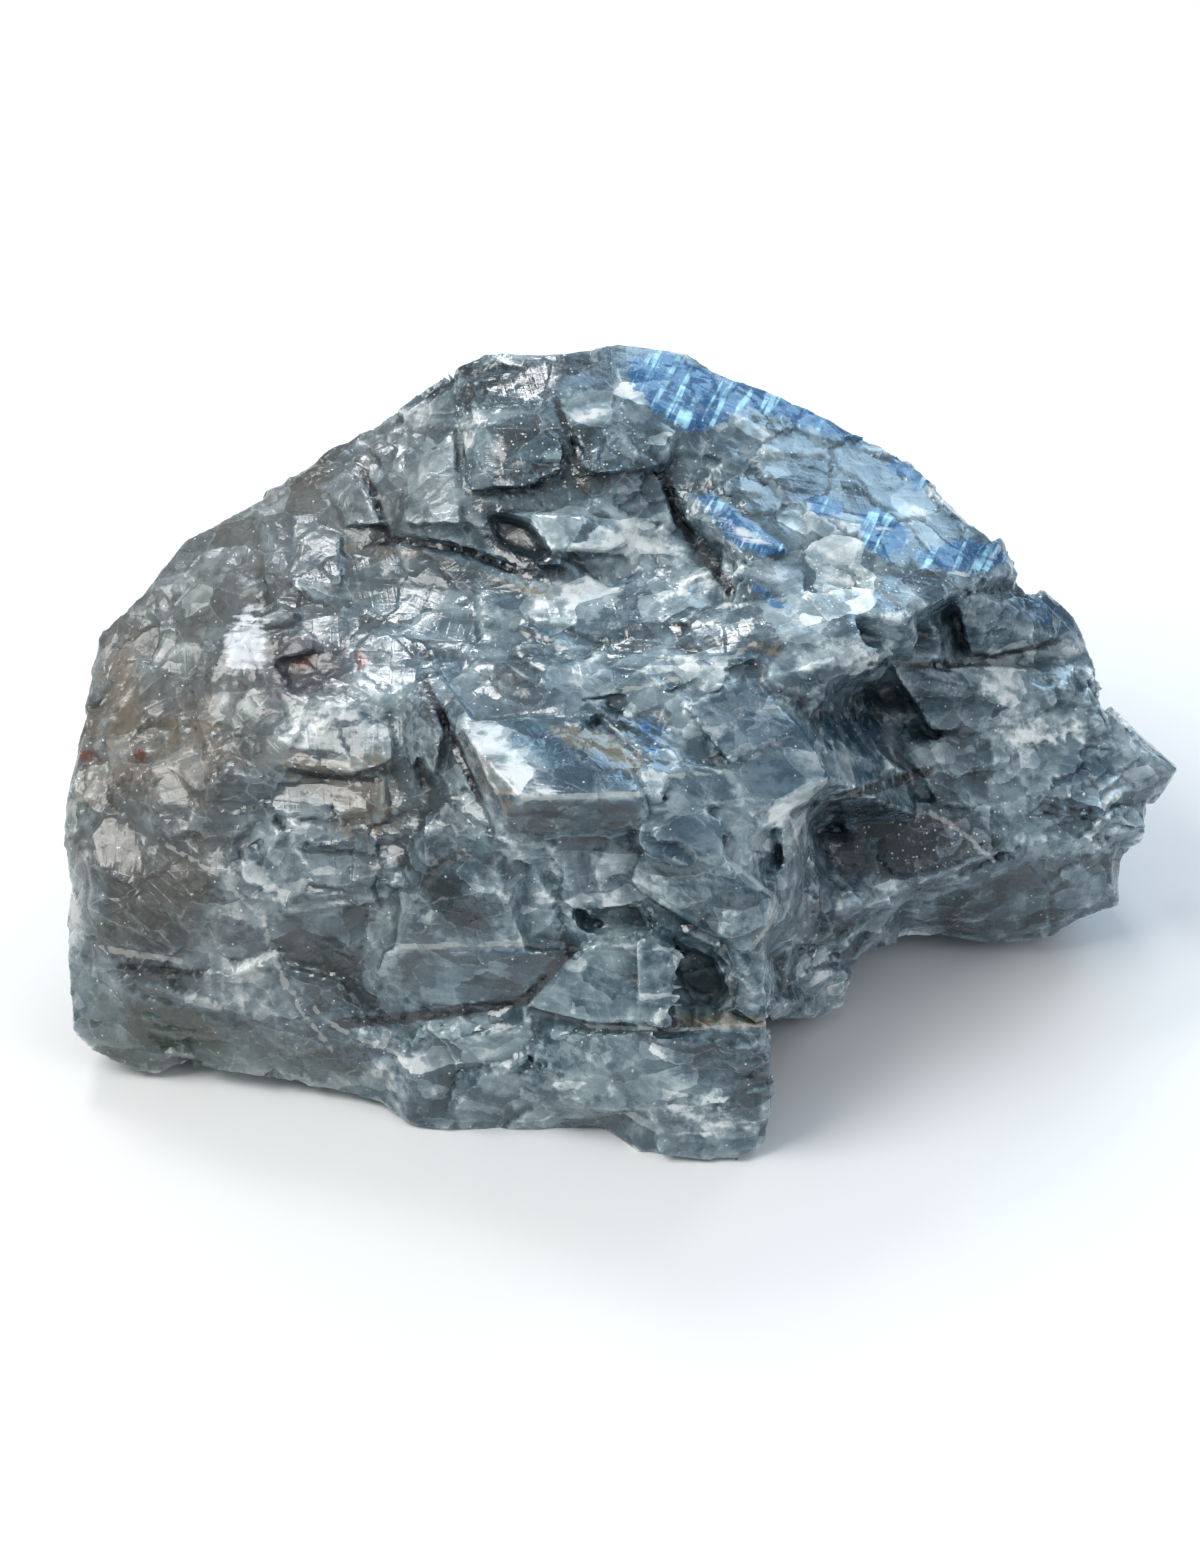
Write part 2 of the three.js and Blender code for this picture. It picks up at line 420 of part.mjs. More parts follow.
// The block of a grain's cleavage with the given edge lengths, its middle at the origin
function rhomb(edges, lengths) {
  const corners = [];
  for (let i = 0; i < 8; i++) {
    const corner = new THREE.Vector3();
    edges.forEach((edge, k) => {
      const isFarEnd = (i >> k) & 1;
      corner.addScaledVector(edge, isFarEnd ? lengths[k] / 2 : -lengths[k] / 2);
    });
    corners.push(corner);
  }
  return corners;
}

const SHAPE = [1.4, 0.8, 1]; // shares of a block's size along its three edges
const CHIP_SHARE = 0.45; // of the scattered blocks, those that have broken away

// Cleavage blocks scattered over some faces of the skin: most stand out of it by a height within `proud`,
// and the others are places where a block of that height has broken away.
function scatter(random, triangles, { count, proud, size }) {
  const within = ([low, high], share) => low + (high - low) * share;
  const total = triangles.reduce((sum, triangle) => sum + triangle.getArea(), 0);
  return Array.from({ length: count }, (_, index) => {
    let left = ((index + random()) / count) * total;
    const isHere = (triangle) => (left -= triangle.getArea()) <= 0;
    const face = triangles.find(isHere) ?? triangles[triangles.length - 1];
    const normal = face.getNormal(new THREE.Vector3());
    const [p, q] = [random(), random()].sort((a, b) => a - b);
    const at = new THREE.Vector3()
      .addScaledVector(face.a, p)
      .addScaledVector(face.b, q - p)
      .addScaledVector(face.c, 1 - q);
    const distance = ({ middle }) => middle.distanceTo(at);
    const nearest = GRAINS.reduce((best, other) => (distance(other) < distance(best) ? other : best));
    const corners = rhomb(nearest.edges, SHAPE.map((share) => share * within(size, random() ** 2)));
    const reach = Math.max(...corners.map((corner) => corner.dot(normal)));
    const isChip = random() < CHIP_SHARE;
    const height = within(proud, random());
    at.addScaledVector(normal, isChip ? reach - height : height - reach);
    return { isChip, corners: corners.map((corner) => corner.add(at)) };
  });
}

// The scattered blocks of both sides. On the shown side blocks end at the outline, and no chip reaches it.
// On the hidden side those that would be seen, or would reach the table, are left out.
function cleavageBlocks() {
  const random = seededNumbers(WEATHER_SEED);
  const faces = skinGeometry.toNonIndexed().getAttribute("position");
  const triangles = [];
  for (let i = 0; i < faces.count; i += 3) {
    const corners = [0, 1, 2].map((k) => new THREE.Vector3().fromBufferAttribute(faces, i + k));
    triangles.push(new THREE.Triangle(...corners));
  }
  const isOnTable = (triangle) => triangle.getNormal(new THREE.Vector3()).z < -0.9;
  const shownSide = triangles.slice(0, shownFaces.length);
  const hiddenSide = triangles.slice(shownFaces.length).filter((triangle) => !isOnTable(triangle));
  const isWithin = (corner) => inside(OUTLINE, ...onPicturePlane(corner));
  const isBehind = (corner) => {
    const onShownSide = onSkin([...onPicturePlane(corner), 0]);
    return eye.distanceTo(onShownSide) < eye.distanceTo(corner);
  };
  const isCovered = (corner) => corner.z > 0 && isWithin(corner) && isBehind(corner);
  const cone = outlineCone();
  const shown = scatter(random, shownSide, SHOWN_BLOCKS)
    .filter(({ isChip, corners }) => !isChip || corners.every(isWithin))
    .map(({ isChip, corners }) => {
      const whole = hull(corners);
      return { isChip, shape: isChip ? whole : whole.intersect(cone) };
    });
  const hidden = scatter(random, hiddenSide, HIDDEN_BLOCKS)
    .filter(({ corners }) => corners.every(isCovered))
    .map(({ isChip, corners }) => ({ isChip, shape: hull(corners) }));
  return [...shown, ...hidden];
}

function geometryOf(manifold) {
  const mesh = manifold.getMesh();
  const position = new Float32Array(mesh.numVert * 3);
  for (let i = 0; i < mesh.numVert; i++) {
    position.set(mesh.vertProperties.subarray(i * mesh.numProp, i * mesh.numProp + 3), i * 3);
  }
  return new THREE.BufferGeometry()
    .setAttribute("position", new THREE.BufferAttribute(position, 3))
    .setIndex(new THREE.BufferAttribute(new Uint32Array(mesh.triVerts), 1));
}

// The stone lies on its base: what reaches below the table is cut away
function aboveTable(stone) {
  const reach = 200;
  return stone.intersect(solid(new THREE.BoxGeometry(reach, reach, reach).translate(0, 0, reach / 2)));
}

function calciteRough() {
  const skinSolid = solid(skinGeometry);
  const weathered = cleavageBlocks().reduce(
    (stone, { isChip, shape }) => (isChip ? stone.subtract(shape) : stone.add(shape)),
    skinSolid,
  );
  const grown = Object.values(BLOCKS).reduce((stone, corners) => stone.add(block(corners)), weathered);
  const openings = [
    ...CRACKS.flatMap(({ path, width, depth }) => crack(path, width, depth)),
    ...HOLLOWS.map(({ outline, depth }) => hollow(outline, depth)),
  ];
  const stone = openings.reduce((left, opening) => left.subtract(opening), grown);
  const pieces = aboveTable(stone).decompose();
  return pieces.reduce((largest, piece) => (piece.volume() > largest.volume() ? piece : largest));
}

const geometry = geometryOf(calciteRough()).toNonIndexed();
geometry.computeBoundingBox();
geometry.computeVertexNormals();
const { min, max } = geometry.boundingBox;

const calcite = new THREE.MeshStandardMaterial({ color: 0x6d7b87, roughness: 0.38, metalness: 0 });
const mesh = new THREE.Mesh(geometry, calcite);
mesh.name = "calcite_rough";
// The origin is at the middle of the stone's box, on the table
mesh.position.set(-(min.x + max.x) / 2, -(min.y + max.y) / 2, -min.z);
const group = new THREE.Group();
group.add(mesh);
export default group;
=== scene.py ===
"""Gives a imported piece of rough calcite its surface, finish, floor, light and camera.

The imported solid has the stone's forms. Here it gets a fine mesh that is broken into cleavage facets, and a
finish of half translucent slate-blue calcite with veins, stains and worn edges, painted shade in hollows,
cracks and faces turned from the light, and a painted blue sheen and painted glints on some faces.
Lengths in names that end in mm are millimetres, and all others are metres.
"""

import logging
import math
from dataclasses import dataclass, field
from enum import Enum

import bmesh
import bpy
import numpy as np
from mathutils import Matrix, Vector
from mathutils.kdtree import KDTree


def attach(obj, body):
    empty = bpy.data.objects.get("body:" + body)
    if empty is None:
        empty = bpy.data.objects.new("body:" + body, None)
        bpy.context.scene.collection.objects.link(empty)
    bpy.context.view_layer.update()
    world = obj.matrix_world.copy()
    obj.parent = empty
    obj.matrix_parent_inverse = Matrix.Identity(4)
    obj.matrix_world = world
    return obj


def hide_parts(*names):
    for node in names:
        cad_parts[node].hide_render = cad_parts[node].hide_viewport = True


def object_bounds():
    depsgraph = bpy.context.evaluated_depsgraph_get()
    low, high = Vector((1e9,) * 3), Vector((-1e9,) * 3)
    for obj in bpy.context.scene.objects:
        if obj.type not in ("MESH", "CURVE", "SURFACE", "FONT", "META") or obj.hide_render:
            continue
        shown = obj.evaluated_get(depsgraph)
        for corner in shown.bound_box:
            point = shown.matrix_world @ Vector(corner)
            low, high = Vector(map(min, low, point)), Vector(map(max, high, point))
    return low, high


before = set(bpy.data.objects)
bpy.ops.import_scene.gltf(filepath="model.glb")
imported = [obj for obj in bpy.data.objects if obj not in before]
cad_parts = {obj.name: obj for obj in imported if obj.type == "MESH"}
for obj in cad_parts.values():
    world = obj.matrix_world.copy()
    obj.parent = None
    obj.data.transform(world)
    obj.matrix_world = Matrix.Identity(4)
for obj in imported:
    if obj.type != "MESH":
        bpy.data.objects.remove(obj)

CAD_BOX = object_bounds()
STONE_NODE = "calcite_rough"
MM = 0.001
# The angle between the edges of calcite's cleavage rhomb
RHOMB_DEG = 101.92

log = logging.getLogger("calcite")


def linear(hex_colour: str) -> tuple[float, float, float, float]:
    """Turns an sRGB colour into the linear values that a shader takes.

    Args:
        hex_colour: six hexadecimal digits, such as "5a6873".

    Returns:
        Red, green, blue and an alpha of 1.
    """
    channels = [int(hex_colour[i : i + 2], 16) / 255 for i in (0, 2, 4)]
    red, green, blue = (c / 12.92 if c <= 0.04045 else ((c + 0.055) / 1.055) ** 2.4 for c in channels)
    return red, green, blue, 1.0


def scramble(*keys: np.ndarray) -> np.ndarray:
    """Gives each row of whole-number keys its own number, the same on every run.

    Args:
        keys: arrays of whole numbers, all of one shape.

    Returns:
        Numbers from 0 to 1, in that shape.
    """
    mixed = np.zeros(np.shape(keys[0]), np.uint64)
    for key in keys:
        mixed = (mixed ^ np.asarray(key).astype(np.int64).astype(np.uint64)) * np.uint64(0x9E3779B97F4A7C15)
        mixed ^= mixed >> np.uint64(29)
    return (mixed >> np.uint64(40)).astype(float) / 2**24


def value_noise(points: np.ndarray, size: float, seed: int) -> np.ndarray:
    """Smooth noise in space.

    Args:
        points: N points.
        size: the distance over which the noise changes, in the points' unit.
        seed: another seed gives another noise.

    Returns:
        N numbers from 0 to 1.
    """
    cell = points / size
    low = np.floor(cell).astype(np.int64)
    share = cell - low
    share = share * share * (3 - 2 * share)
    total = np.zeros(len(points))
    for corner in np.ndindex(2, 2, 2):
        weight = np.prod(np.where(corner, share, 1 - share), axis=1)
        total += weight * scramble(*(low + corner).T, np.full(len(points), seed))
    return total


@dataclass(frozen=True)
class Grain:
    """One crystal grain of the stone, with the directions of its cleavage.

    Args:
        middle_mm: where the grain is, in the stone's own frame.
        along: the direction of the first edge of its cleavage rhomb.
        up: the normal of the cleavage plane that lies most nearly level in it.
    """

    middle_mm: tuple[float, float, float]
    along: tuple[float, float, float]
    up: tuple[float, float, float]

    def edges(self) -> np.ndarray:
        """Works out the edges of the cleavage rhomb.

        Returns:
            The three edges as unit rows.
        """
        cosine = math.cos(math.radians(RHOMB_DEG))
        sine = math.sin(math.radians(RHOMB_DEG))
        x = np.array(self.along) / np.linalg.norm(self.along)
        z = np.array(self.up) - np.dot(self.up, x) * x
        z /= np.linalg.norm(z)
        y = np.cross(z, x)
        lean = (cosine - cosine * cosine) / sine
        rise = math.sqrt(1 - cosine * cosine - lean * lean)
        return np.array([x, cosine * x + sine * y, cosine * x + lean * y + rise * z])

    def normals(self) -> np.ndarray:
        """Works out how the cleavage planes lie.

        Returns:
            The normals of the three planes as unit rows.
        """
        a, b, c = self.edges()
        planes = np.array([np.cross(b, c), np.cross(c, a), np.cross(a, b)])
        return planes / np.linalg.norm(planes, axis=1, keepdims=True)


@dataclass(frozen=True)
class Crystals:
    """The small crystals that the grains are made of.

    Args:
        index: for each point, its crystal.
        edges: for each crystal, the three edges of its cleavage rhomb as unit rows.
        normals: for each crystal, the normals of its cleavage planes as unit rows.
    """

    index: np.ndarray
    edges: np.ndarray
    normals: np.ndarray

    def coordinates(self, points: np.ndarray) -> np.ndarray:
        """Each point's place along the cleavage edges of its crystal, in the points' unit."""
        return np.einsum("nj,njk->nk", points, np.linalg.inv(self.edges)[self.index])


def turned(rows: np.ndarray, axes: np.ndarray, angles: np.ndarray) -> np.ndarray:
    """Turns sets of three rows, each set about its own axis.

    Args:
        rows: K sets of three vectors.
        axes: K unit vectors.
        angles: K angles in radians.

    Returns:
        The turned sets.
    """
    cosine = np.cos(angles)[:, None, None]
    sine = np.sin(angles)[:, None, None]
    axis = axes[:, None, :]
    along = np.sum(rows * axis, axis=2, keepdims=True) * axis
    return rows * cosine + np.cross(axis, rows) * sine + along * (1 - cosine)


@dataclass(frozen=True)
class FacetPass:
    """One round of breaking the surface into flat facets.

    Args:
        size_mm: the usual size of a facet.
        shape: shares of that size along the three edges of the cleavage rhomb.
        cap_mm: the most that a point moves.
        lean: how far a facet turns from the surface towards the cleavage plane nearest to it, from 0 to 1.
        proud_mm: how far facets stand above or below each other at random.
        smoothing: how many rounds the normals are evened out before.
        seed: another seed gives other facets.
    """

    size_mm: float
    shape: tuple[float, float, float]
    cap_mm: float
    lean: float
    proud_mm: float
    smoothing: int
    seed: int


@dataclass(frozen=True)
class SightLines:
    """The straight lines along which the stone was laid out, so that a place on it is found by its (u, v).

    Args:
        elevation_deg: how far above the table they come from.
        distance_mm: how far away they meet.
        middle_mm: the middle of the picture plane, in the stone's frame.
        middle_v_mm: the v of that middle.
    """

    elevation_deg: float = 38.0
    distance_mm: float = 330.0
    middle_mm: tuple[float, float, float] = (-3.673, -8.368, 24.0)
    middle_v_mm: float = 42.45

    def towards_eye(self) -> np.ndarray:
        """The unit vector from the stone to the eye."""
        elevation = math.radians(self.elevation_deg)
        return np.array([0.0, -math.cos(elevation), math.sin(elevation)])

    def eye_mm(self) -> np.ndarray:
        """Where the sight lines meet."""
        return np.array(self.middle_mm) + self.distance_mm * self.towards_eye()

    def find(self, points_mm: np.ndarray) -> tuple[np.ndarray, np.ndarray]:
        """Finds where points are seen.

        Args:
            points_mm: N points.

        Returns:
            N rows of (u, v) on the picture plane in millimetres, and N distances from the eye.
        """
        elevation = math.radians(self.elevation_deg)
        up = np.array([0.0, math.sin(elevation), math.cos(elevation)])
        sight = points_mm - self.eye_mm()
        scale = self.distance_mm / -(sight @ self.towards_eye())
        on_plane = sight * scale[:, None]
        places = np.stack([on_plane[:, 0], self.middle_v_mm + on_plane @ up], axis=1)
        return places, np.linalg.norm(sight, axis=1)

    def seen(self, points_mm: np.ndarray, cell_mm: float = 1.0, slack_mm: float = 2.5) -> np.ndarray:
        """Tells which points are in sight.

        Args:
            points_mm: N points.
            cell_mm: the size of the cells in which the nearest point is looked for.
            slack_mm: how far behind the nearest point of its cell a point still counts as seen.

        Returns:
            N truth values.
        """
        places, distances = self.find(points_mm)
        cells = np.floor((places - places.min(axis=0)) / cell_mm).astype(np.int64)
        index = cells[:, 0] * (cells[:, 1].max() + 1) + cells[:, 1]
        nearest = np.full(index.max() + 1, np.inf)
        np.minimum.at(nearest, index, distances)
        return distances < nearest[index] + slack_mm


class Zone(Enum):
    """What a place on the stone is made of or covered with, or the light or shade painted on it. The value is
    the name of its mesh attribute.
    """

    # A painted reflection: the sky's blue sheen on faces turned up and back, painted into the colour
    PAINTED_SHEEN = "sheen"
    BLUE = "blue"
    MILKY = "milky"
    # Partly clear dark calcite, partly painted shade on faces turned down or away from the light
    DEEP_AND_SHADE = "deep"
    CHALK = "chalk"
    WARM = "warm"
    GREEN = "green"
    DIRT = "dirt"
    RUST = "rust"
    DUSKY = "dusky"
    # Painted glints: more white specks that stand for glints of the lamps
    PAINTED_GLINT = "glint"
    VEIN = "vein"
    # Painted shadow in cracks
    DARK = "dark"
    WHOLE = "whole"


@dataclass(frozen=True)
class Patch:
    """One named place that lies in a zone.

    Args:
        name: what a person would call it.
        outline: its corners (u, v) in millimetres.
        strength: how much of the zone shows, from 0 to 1.
    """

    name: str
    outline: tuple[tuple[float, float], ...]
    strength: float = 1.0

    def depth_mm(self, places: np.ndarray) -> np.ndarray:
        """How far inside the patch each place is.

        Args:
            places: N rows of (u, v).

        Returns:
            N distances to the outline, negative outside it.
        """
        corners = np.array(self.outline)
        following = np.roll(corners, -1, axis=0)
        inside = np.zeros(len(places), bool)
        nearest = np.full(len(places), np.inf)
        for (u1, v1), (u2, v2) in zip(corners, following):
            side = np.array([u2 - u1, v2 - v1])
            offset = places - (u1, v1)
            share = np.clip(offset @ side / (side @ side), 0, 1)
            nearest = np.minimum(nearest, np.linalg.norm(offset - share[:, None] * side, axis=1))
            crosses = (v1 > places[:, 1]) != (v2 > places[:, 1])
            rise = v2 - v1 if v2 != v1 else 1.0
            inside ^= crosses & (places[:, 0] < u1 + (places[:, 1] - v1) / rise * (u2 - u1))
        return np.where(inside, nearest, -nearest)


@dataclass(frozen=True)
class Seam:
    """A thin vein, crack filling or painted shadow in a crack that follows a path.

    Args:
        name: what a person would call it.
        path: its points (u, v) in millimetres.
        width_mm: its width.
        strength: how much of the zone shows, from 0 to 1.
    """

    name: str
    path: tuple[tuple[float, float], ...]
    width_mm: float
    strength: float = 1.0

    def depth_mm(self, places: np.ndarray) -> np.ndarray:
        """How far inside the seam each place is.

        Args:
            places: N rows of (u, v).

        Returns:
            N distances to the seam's side, negative outside it.
        """
        points = np.array(self.path)
        nearest = np.full(len(places), np.inf)
        for start, end in zip(points, points[1:]):
            side = end - start
            offset = places - start
            share = np.clip(offset @ side / (side @ side), 0, 1)
            nearest = np.minimum(nearest, np.linalg.norm(offset - share[:, None] * side, axis=1))
        return self.width_mm / 2 - nearest


PATCHES: dict[Zone, tuple[Patch | Seam, ...]] = {
    Zone.WHOLE: (
        Patch("crystal top face", (
            (-14.2, 47.7), (-11, 48), (-6, 48.2), (-1.7, 46.1), (2.9, 43.2), (4.4, 40.6), (-7.4, 40.2),
            (-12.6, 45.3))),
        Patch("crystal front", ((-13.4, 45.9), (-7.4, 40.4), (4.4, 40.8), (4, 36.2), (-8, 36.2)), 0.9),
        Patch("kite", (
            (-15.4, 39.9), (-9.9, 33.6), (-7.4, 25.5), (-20.4, 25.2), (-20, 30.5), (-18.9, 34.9))),
        Patch("left rim face", ((8.3, 49.3), (15.2, 51.7), (20.1, 47.3), (13.1, 43.4))),
        Patch("right rim face", ((13.1, 43.4), (20.1, 47.3), (23.1, 42.6), (21.5, 41.2), (15.3, 38.8))),
        Patch("rim wall", ((16.7, 54.4), (25.6, 54.4), (25.6, 50), (16.7, 50)), 0.8),
        Patch("pyramid", ((-2.6, 24.7), (-7.8, 19.6), (0.2, 17.6), (7, 17.2), (6.8, 21.7), (4, 25.8)), 0.9),
        Patch("upper slab", ((8.9, 70.7), (12, 70.7), (18.9, 65), (18, 64.1), (12, 65.5)), 0.9),
        Patch("pane face", ((-34.4, 69.3), (-26, 69.3), (-25.8, 61), (-34.4, 61)), 0.8),
        Patch("blade face", ((22, 41), (40, 40), (40.4, 35), (34, 31.8), (24, 32)), 0.8),
        Patch("overhang", ((1.7, 34.7), (12, 34.7), (18, 30), (17, 24.5), (8, 27)), 0.6),
        Patch("plateau", ((-30, 62), (-10, 60), (12, 58), (16, 56), (4, 50), (-12, 53), (-28, 55)), 0.55),
        Patch("belly", ((31, 27), (40, 33.5), (46, 35.5), (52.5, 34.5), (52, 29), (46, 26), (36, 26)), 0.8),
        Patch("dome", ((-35, 47), (-31, 51), (-24, 51.5), (-20, 48), (-21, 44), (-33, 43)), 0.7),
        Patch("ledge front", ((-21.6, 25.1), (-2.8, 25.1), (-8, 19.5), (-18, 19)), 0.7),
        Patch("toe face", ((-6, 17), (17, 17), (17.5, 8), (12, 4), (-2, 8)), 0.5),
    ),
    # Painted glints: places where white specks that stand for glints are painted more thickly
    Zone.PAINTED_GLINT: (
        Patch("dark glossy ground", ((21, 64), (27, 65), (33, 63), (32, 57), (27, 56), (21, 58.5)), 0.9),
        Patch("glossy lumps", ((-15, 80), (-6, 79), (5, 78), (5, 73), (-4, 71), (-14, 70)), 0.6),
        Patch("glossy streak", ((24, 40), (36, 38), (42, 36), (34, 33), (26, 34)), 0.6),
    ),
    # Painted sheen: the blue reflection of the sky, painted as colour with fine bright lines
    Zone.PAINTED_SHEEN: (
        Patch("crest sheen", (
            (2.8, 83.8), (6.8, 84.8), (11, 82.8), (14.5, 79.5), (12, 77.5), (8.8, 76.8), (5.5, 79),
            (2.8, 82.2))),
        Patch("crest edge", (
            (11.5, 82.8), (19, 80.8), (27.5, 76.4), (26.8, 75.2), (20, 77.5), (13.8, 79.6)), 0.8),
        Patch("sheen slab", (
            (9.2, 70.3), (11.2, 70.6), (15.2, 67.5), (18.8, 64.8), (16.4, 64.4), (13.5, 65.5), (11.5, 68))),
        Patch("small sheen", ((20.3, 70.3), (23, 70.5), (24.5, 69.2), (23.8, 68.2), (21.8, 68.5)), 0.8),
        Patch("crossed sheen", (
            (25.8, 69), (28.5, 69.2), (30.5, 67), (30.3, 65.2), (28.5, 64), (26.5, 65.5))),
        Patch("right sheen", (
            (31.5, 65), (36, 66), (40, 65.5), (41, 64), (38.5, 62.5), (35, 62.8), (31.5, 63.8)), 0.8),
        Patch("right crest", ((28, 75), (30.5, 74), (33.5, 72), (32, 70.8), (29, 73)), 0.7),
        Patch("streak below the sheen", ((14.8, 61.8), (17.5, 60.4), (19.5, 58.6), (17.4, 59.2)), 0.8),
        Patch("wing top sheen", ((40, 59.6), (43.6, 60.6), (46.4, 58.8), (45, 57.4), (42, 58.6)), 0.45),
        Patch("crystal neighbour", ((3.2, 48), (6, 48), (6.6, 44.5), (4, 44)), 0.45),
    ),
    Zone.CHALK: (
        Patch("sheen slab's frost", ((10, 69.6), (12.4, 69), (17.8, 65), (15, 65.2), (12, 67.2)), 0.55),
        Patch("crossed sheen's frost", ((26.6, 68), (29, 68), (29.6, 65.6), (27.4, 65.4)), 0.5),
        Patch("crystal edge", (
            (-14.2, 47.7), (-11.4, 48.2), (-9.8, 45.6), (-7, 42.6), (-3.6, 40.4), (-7.4, 40.0),
            (-12.8, 45.3)), 0.8),
        Patch("chalky patch", (
            (-37.8, 56), (-36.2, 58.8), (-33.8, 60), (-33.2, 56), (-33.8, 52.8), (-37, 52.5))),
    ),
    Zone.BLUE: (
        Patch("wing top", ((40, 60), (44, 61), (47, 59), (48, 56), (45, 56.5), (42, 58), (39.8, 58.5))),
        Patch("wing tip", ((46.5, 44.8), (49.5, 44.5), (51.5, 43), (50.8, 41.5), (47.5, 41), (46, 42.5))),
        Patch("navy recess", ((22, 48), (28, 47.8), (28.5, 43), (25, 41), (20, 40), (20.8, 44)), 0.9),
        Patch("left rim block", ((8.3, 49.3), (15.2, 51.7), (20.1, 47.3), (13.1, 43.4)), 1.0),
        Patch("right rim block", (
            (13.1, 43.4), (20.1, 47.3), (23.1, 42.6), (21.5, 41.2), (15.3, 38.8)), 1.0),
        Patch("glossy knob", ((3.7, 39.6), (8, 40), (12.4, 38.4), (12.4, 34.4), (8.2, 33), (5, 34.4)), 0.5),
        Patch("left pane", (
            (-33.8, 69.3), (-30, 70), (-26, 68.5), (-25.5, 64), (-30, 62.5), (-33.5, 63.5)), 0.35),
        Patch("crystal top", (
            (-10, 48.2), (-5, 47.5), (0, 45.2), (4.2, 41.4), (2, 40.6), (-3.6, 40.4), (-7, 43.2),
            (-9.6, 46)), 0.9),
        Patch("plateau band", ((-9.5, 52), (-4, 53.5), (4, 53.5), (6, 51), (0, 50), (-6, 50)), 0.4),
    ),
    # Partly the clear dark calcite and partly painted shade, on faces that turn down or away from the lamps
    Zone.DEEP_AND_SHADE: (
        Patch("left rim block's face", ((9.3, 48.9), (15, 51), (19, 47.3), (13.1, 44.4)), 0.2),
        Patch("right rim block's face", ((14.1, 43.4), (20.1, 46.5), (22.5, 42.6), (16, 39.6)), 0.4),
        Patch("block under the rim", ((14.5, 51), (19, 53.4), (22, 52), (20, 48)), 0.6),
        Patch("kite shade", (
            (-15.4, 39.9), (-9.9, 33.6), (-7.4, 25.5), (-19.6, 25.2), (-19.2, 30.5), (-18.4, 34.9)), 0.4),
        Patch("upper hollow", ((-12.6, 70), (-7, 68.6), (-3.4, 62.4), (-6.6, 61.6), (-11, 65.6)), 0.9),
        Patch("left shoulder", ((-37.5, 70), (-30, 74.5), (-25.5, 76), (-27, 72), (-34, 69.2)), 0.8),
        Patch("slab middle", ((-17.5, 33), (-13, 33), (-10.4, 27.2), (-16, 26.4)), 0.8),
        Patch("ledge face", ((-20.5, 24.8), (-4, 24.8), (-8, 20), (-18, 19.5)), 1.0),
        Patch("wing belly", (
            (31, 27.4), (40, 33), (46, 35), (52, 34), (52, 29), (46, 26), (36, 26.6)), 0.8),
        Patch("dark blade", ((21.5, 40), (36, 41), (41, 35), (36, 32.2), (27, 32), (22, 33)), 0.7),
        Patch("recess floor", ((21, 51), (33, 54), (40, 51), (40, 49), (30, 48), (22, 44)), 0.6),
        Patch("black prism", ((18.2, 26), (20, 31), (25.6, 28), (25, 24.6)), 0.6),
        Patch("streaked slate", ((-17.5, 83.5), (1.7, 84.8), (1.7, 79), (-17, 78.5)), 0.7),
        Patch("lumps' shade", ((-14, 78), (6, 78.5), (7, 72), (-6, 70.5), (-14, 70)), 0.5),
        Patch("dark part of the crystal", (
            (-8.6, 47.6), (-1.7, 46), (3.6, 42.4), (3, 41), (-4, 41.2)), 0.65),
        Patch("crystal's front", ((-7.4, 40), (4.2, 40), (4, 36.2), (-7.8, 36.6)), 0.85),
        Patch("left step face", ((-52, 33.5), (-41, 33), (-38.5, 27), (-41, 24.5), (-52, 24)), 0.6),
        Patch("left step", ((-48, 23.8), (-39.5, 23.4), (-39.5, 20.8), (-47, 21)), 0.8),
        Patch("lower middle", ((-35, 24), (-21, 23), (-18, 17), (-24, 12), (-32, 15)), 0.5),
        Patch("toe top", ((6, 16.6), (17, 16.6), (17.4, 11.5), (7, 12)), 0.5),
        Patch("overhang face", ((1.7, 33), (12, 34), (17.5, 30), (16.5, 24.5), (8, 27)), 0.4),
        Patch("left fin", ((-20, 51.5), (-16.4, 52), (-16, 47), (-17, 41), (-20, 43)), 0.4),
        Patch("low dark face", ((-31, 26), (-24, 25), (-23, 20.5), (-29, 20)), 0.9),
        Patch("foot dark face", ((-48, 20), (-40, 19), (-37, 14.5), (-47, 15)), 0.7),
    ),
    Zone.MILKY: (
        Patch("pale floor", ((0, 67), (6, 66.5), (10, 64), (11.5, 61), (6, 60), (1, 62.5)), 0.7),
        Patch("pale chip", ((-4, 61), (0, 62.5), (2.5, 61), (0, 58), (-3, 57.8)), 0.8),
        Patch("left lump", (
            (-14.5, 79), (-12.5, 79.5), (-10, 76), (-10.5, 72), (-13, 71.5), (-14.5, 75)), 0.7),
        Patch("top lump", ((-4, 80), (1, 82), (4, 80.5), (0, 78), (-3.5, 77)), 0.8),
        Patch("rim chips", ((19, 54.5), (25, 56), (30.5, 60), (30, 55.5), (25, 53.5), (20, 53)), 0.9),
        Patch("slab corner", ((-25, 31), (-20.5, 31.5), (-21, 27), (-23.5, 28.5)), 0.7),
        Patch("nose", ((-33, 50), (-27, 51), (-21.5, 49.5), (-20.5, 45.5), (-27, 46), (-32.5, 47)), 0.45),
        Patch("middle chips", ((-13, 31), (-7, 33), (-3, 29.5), (-4, 26), (-9, 25), (-12, 28)), 0.7),
        Patch("toe chips", ((-7, 17), (-1, 18), (2, 14), (-1, 9.5), (-6, 11)), 0.5),
        Patch("wing streak", ((27, 44.5), (29.8, 43.6), (30, 43), (27.4, 43.8)), 1.0),
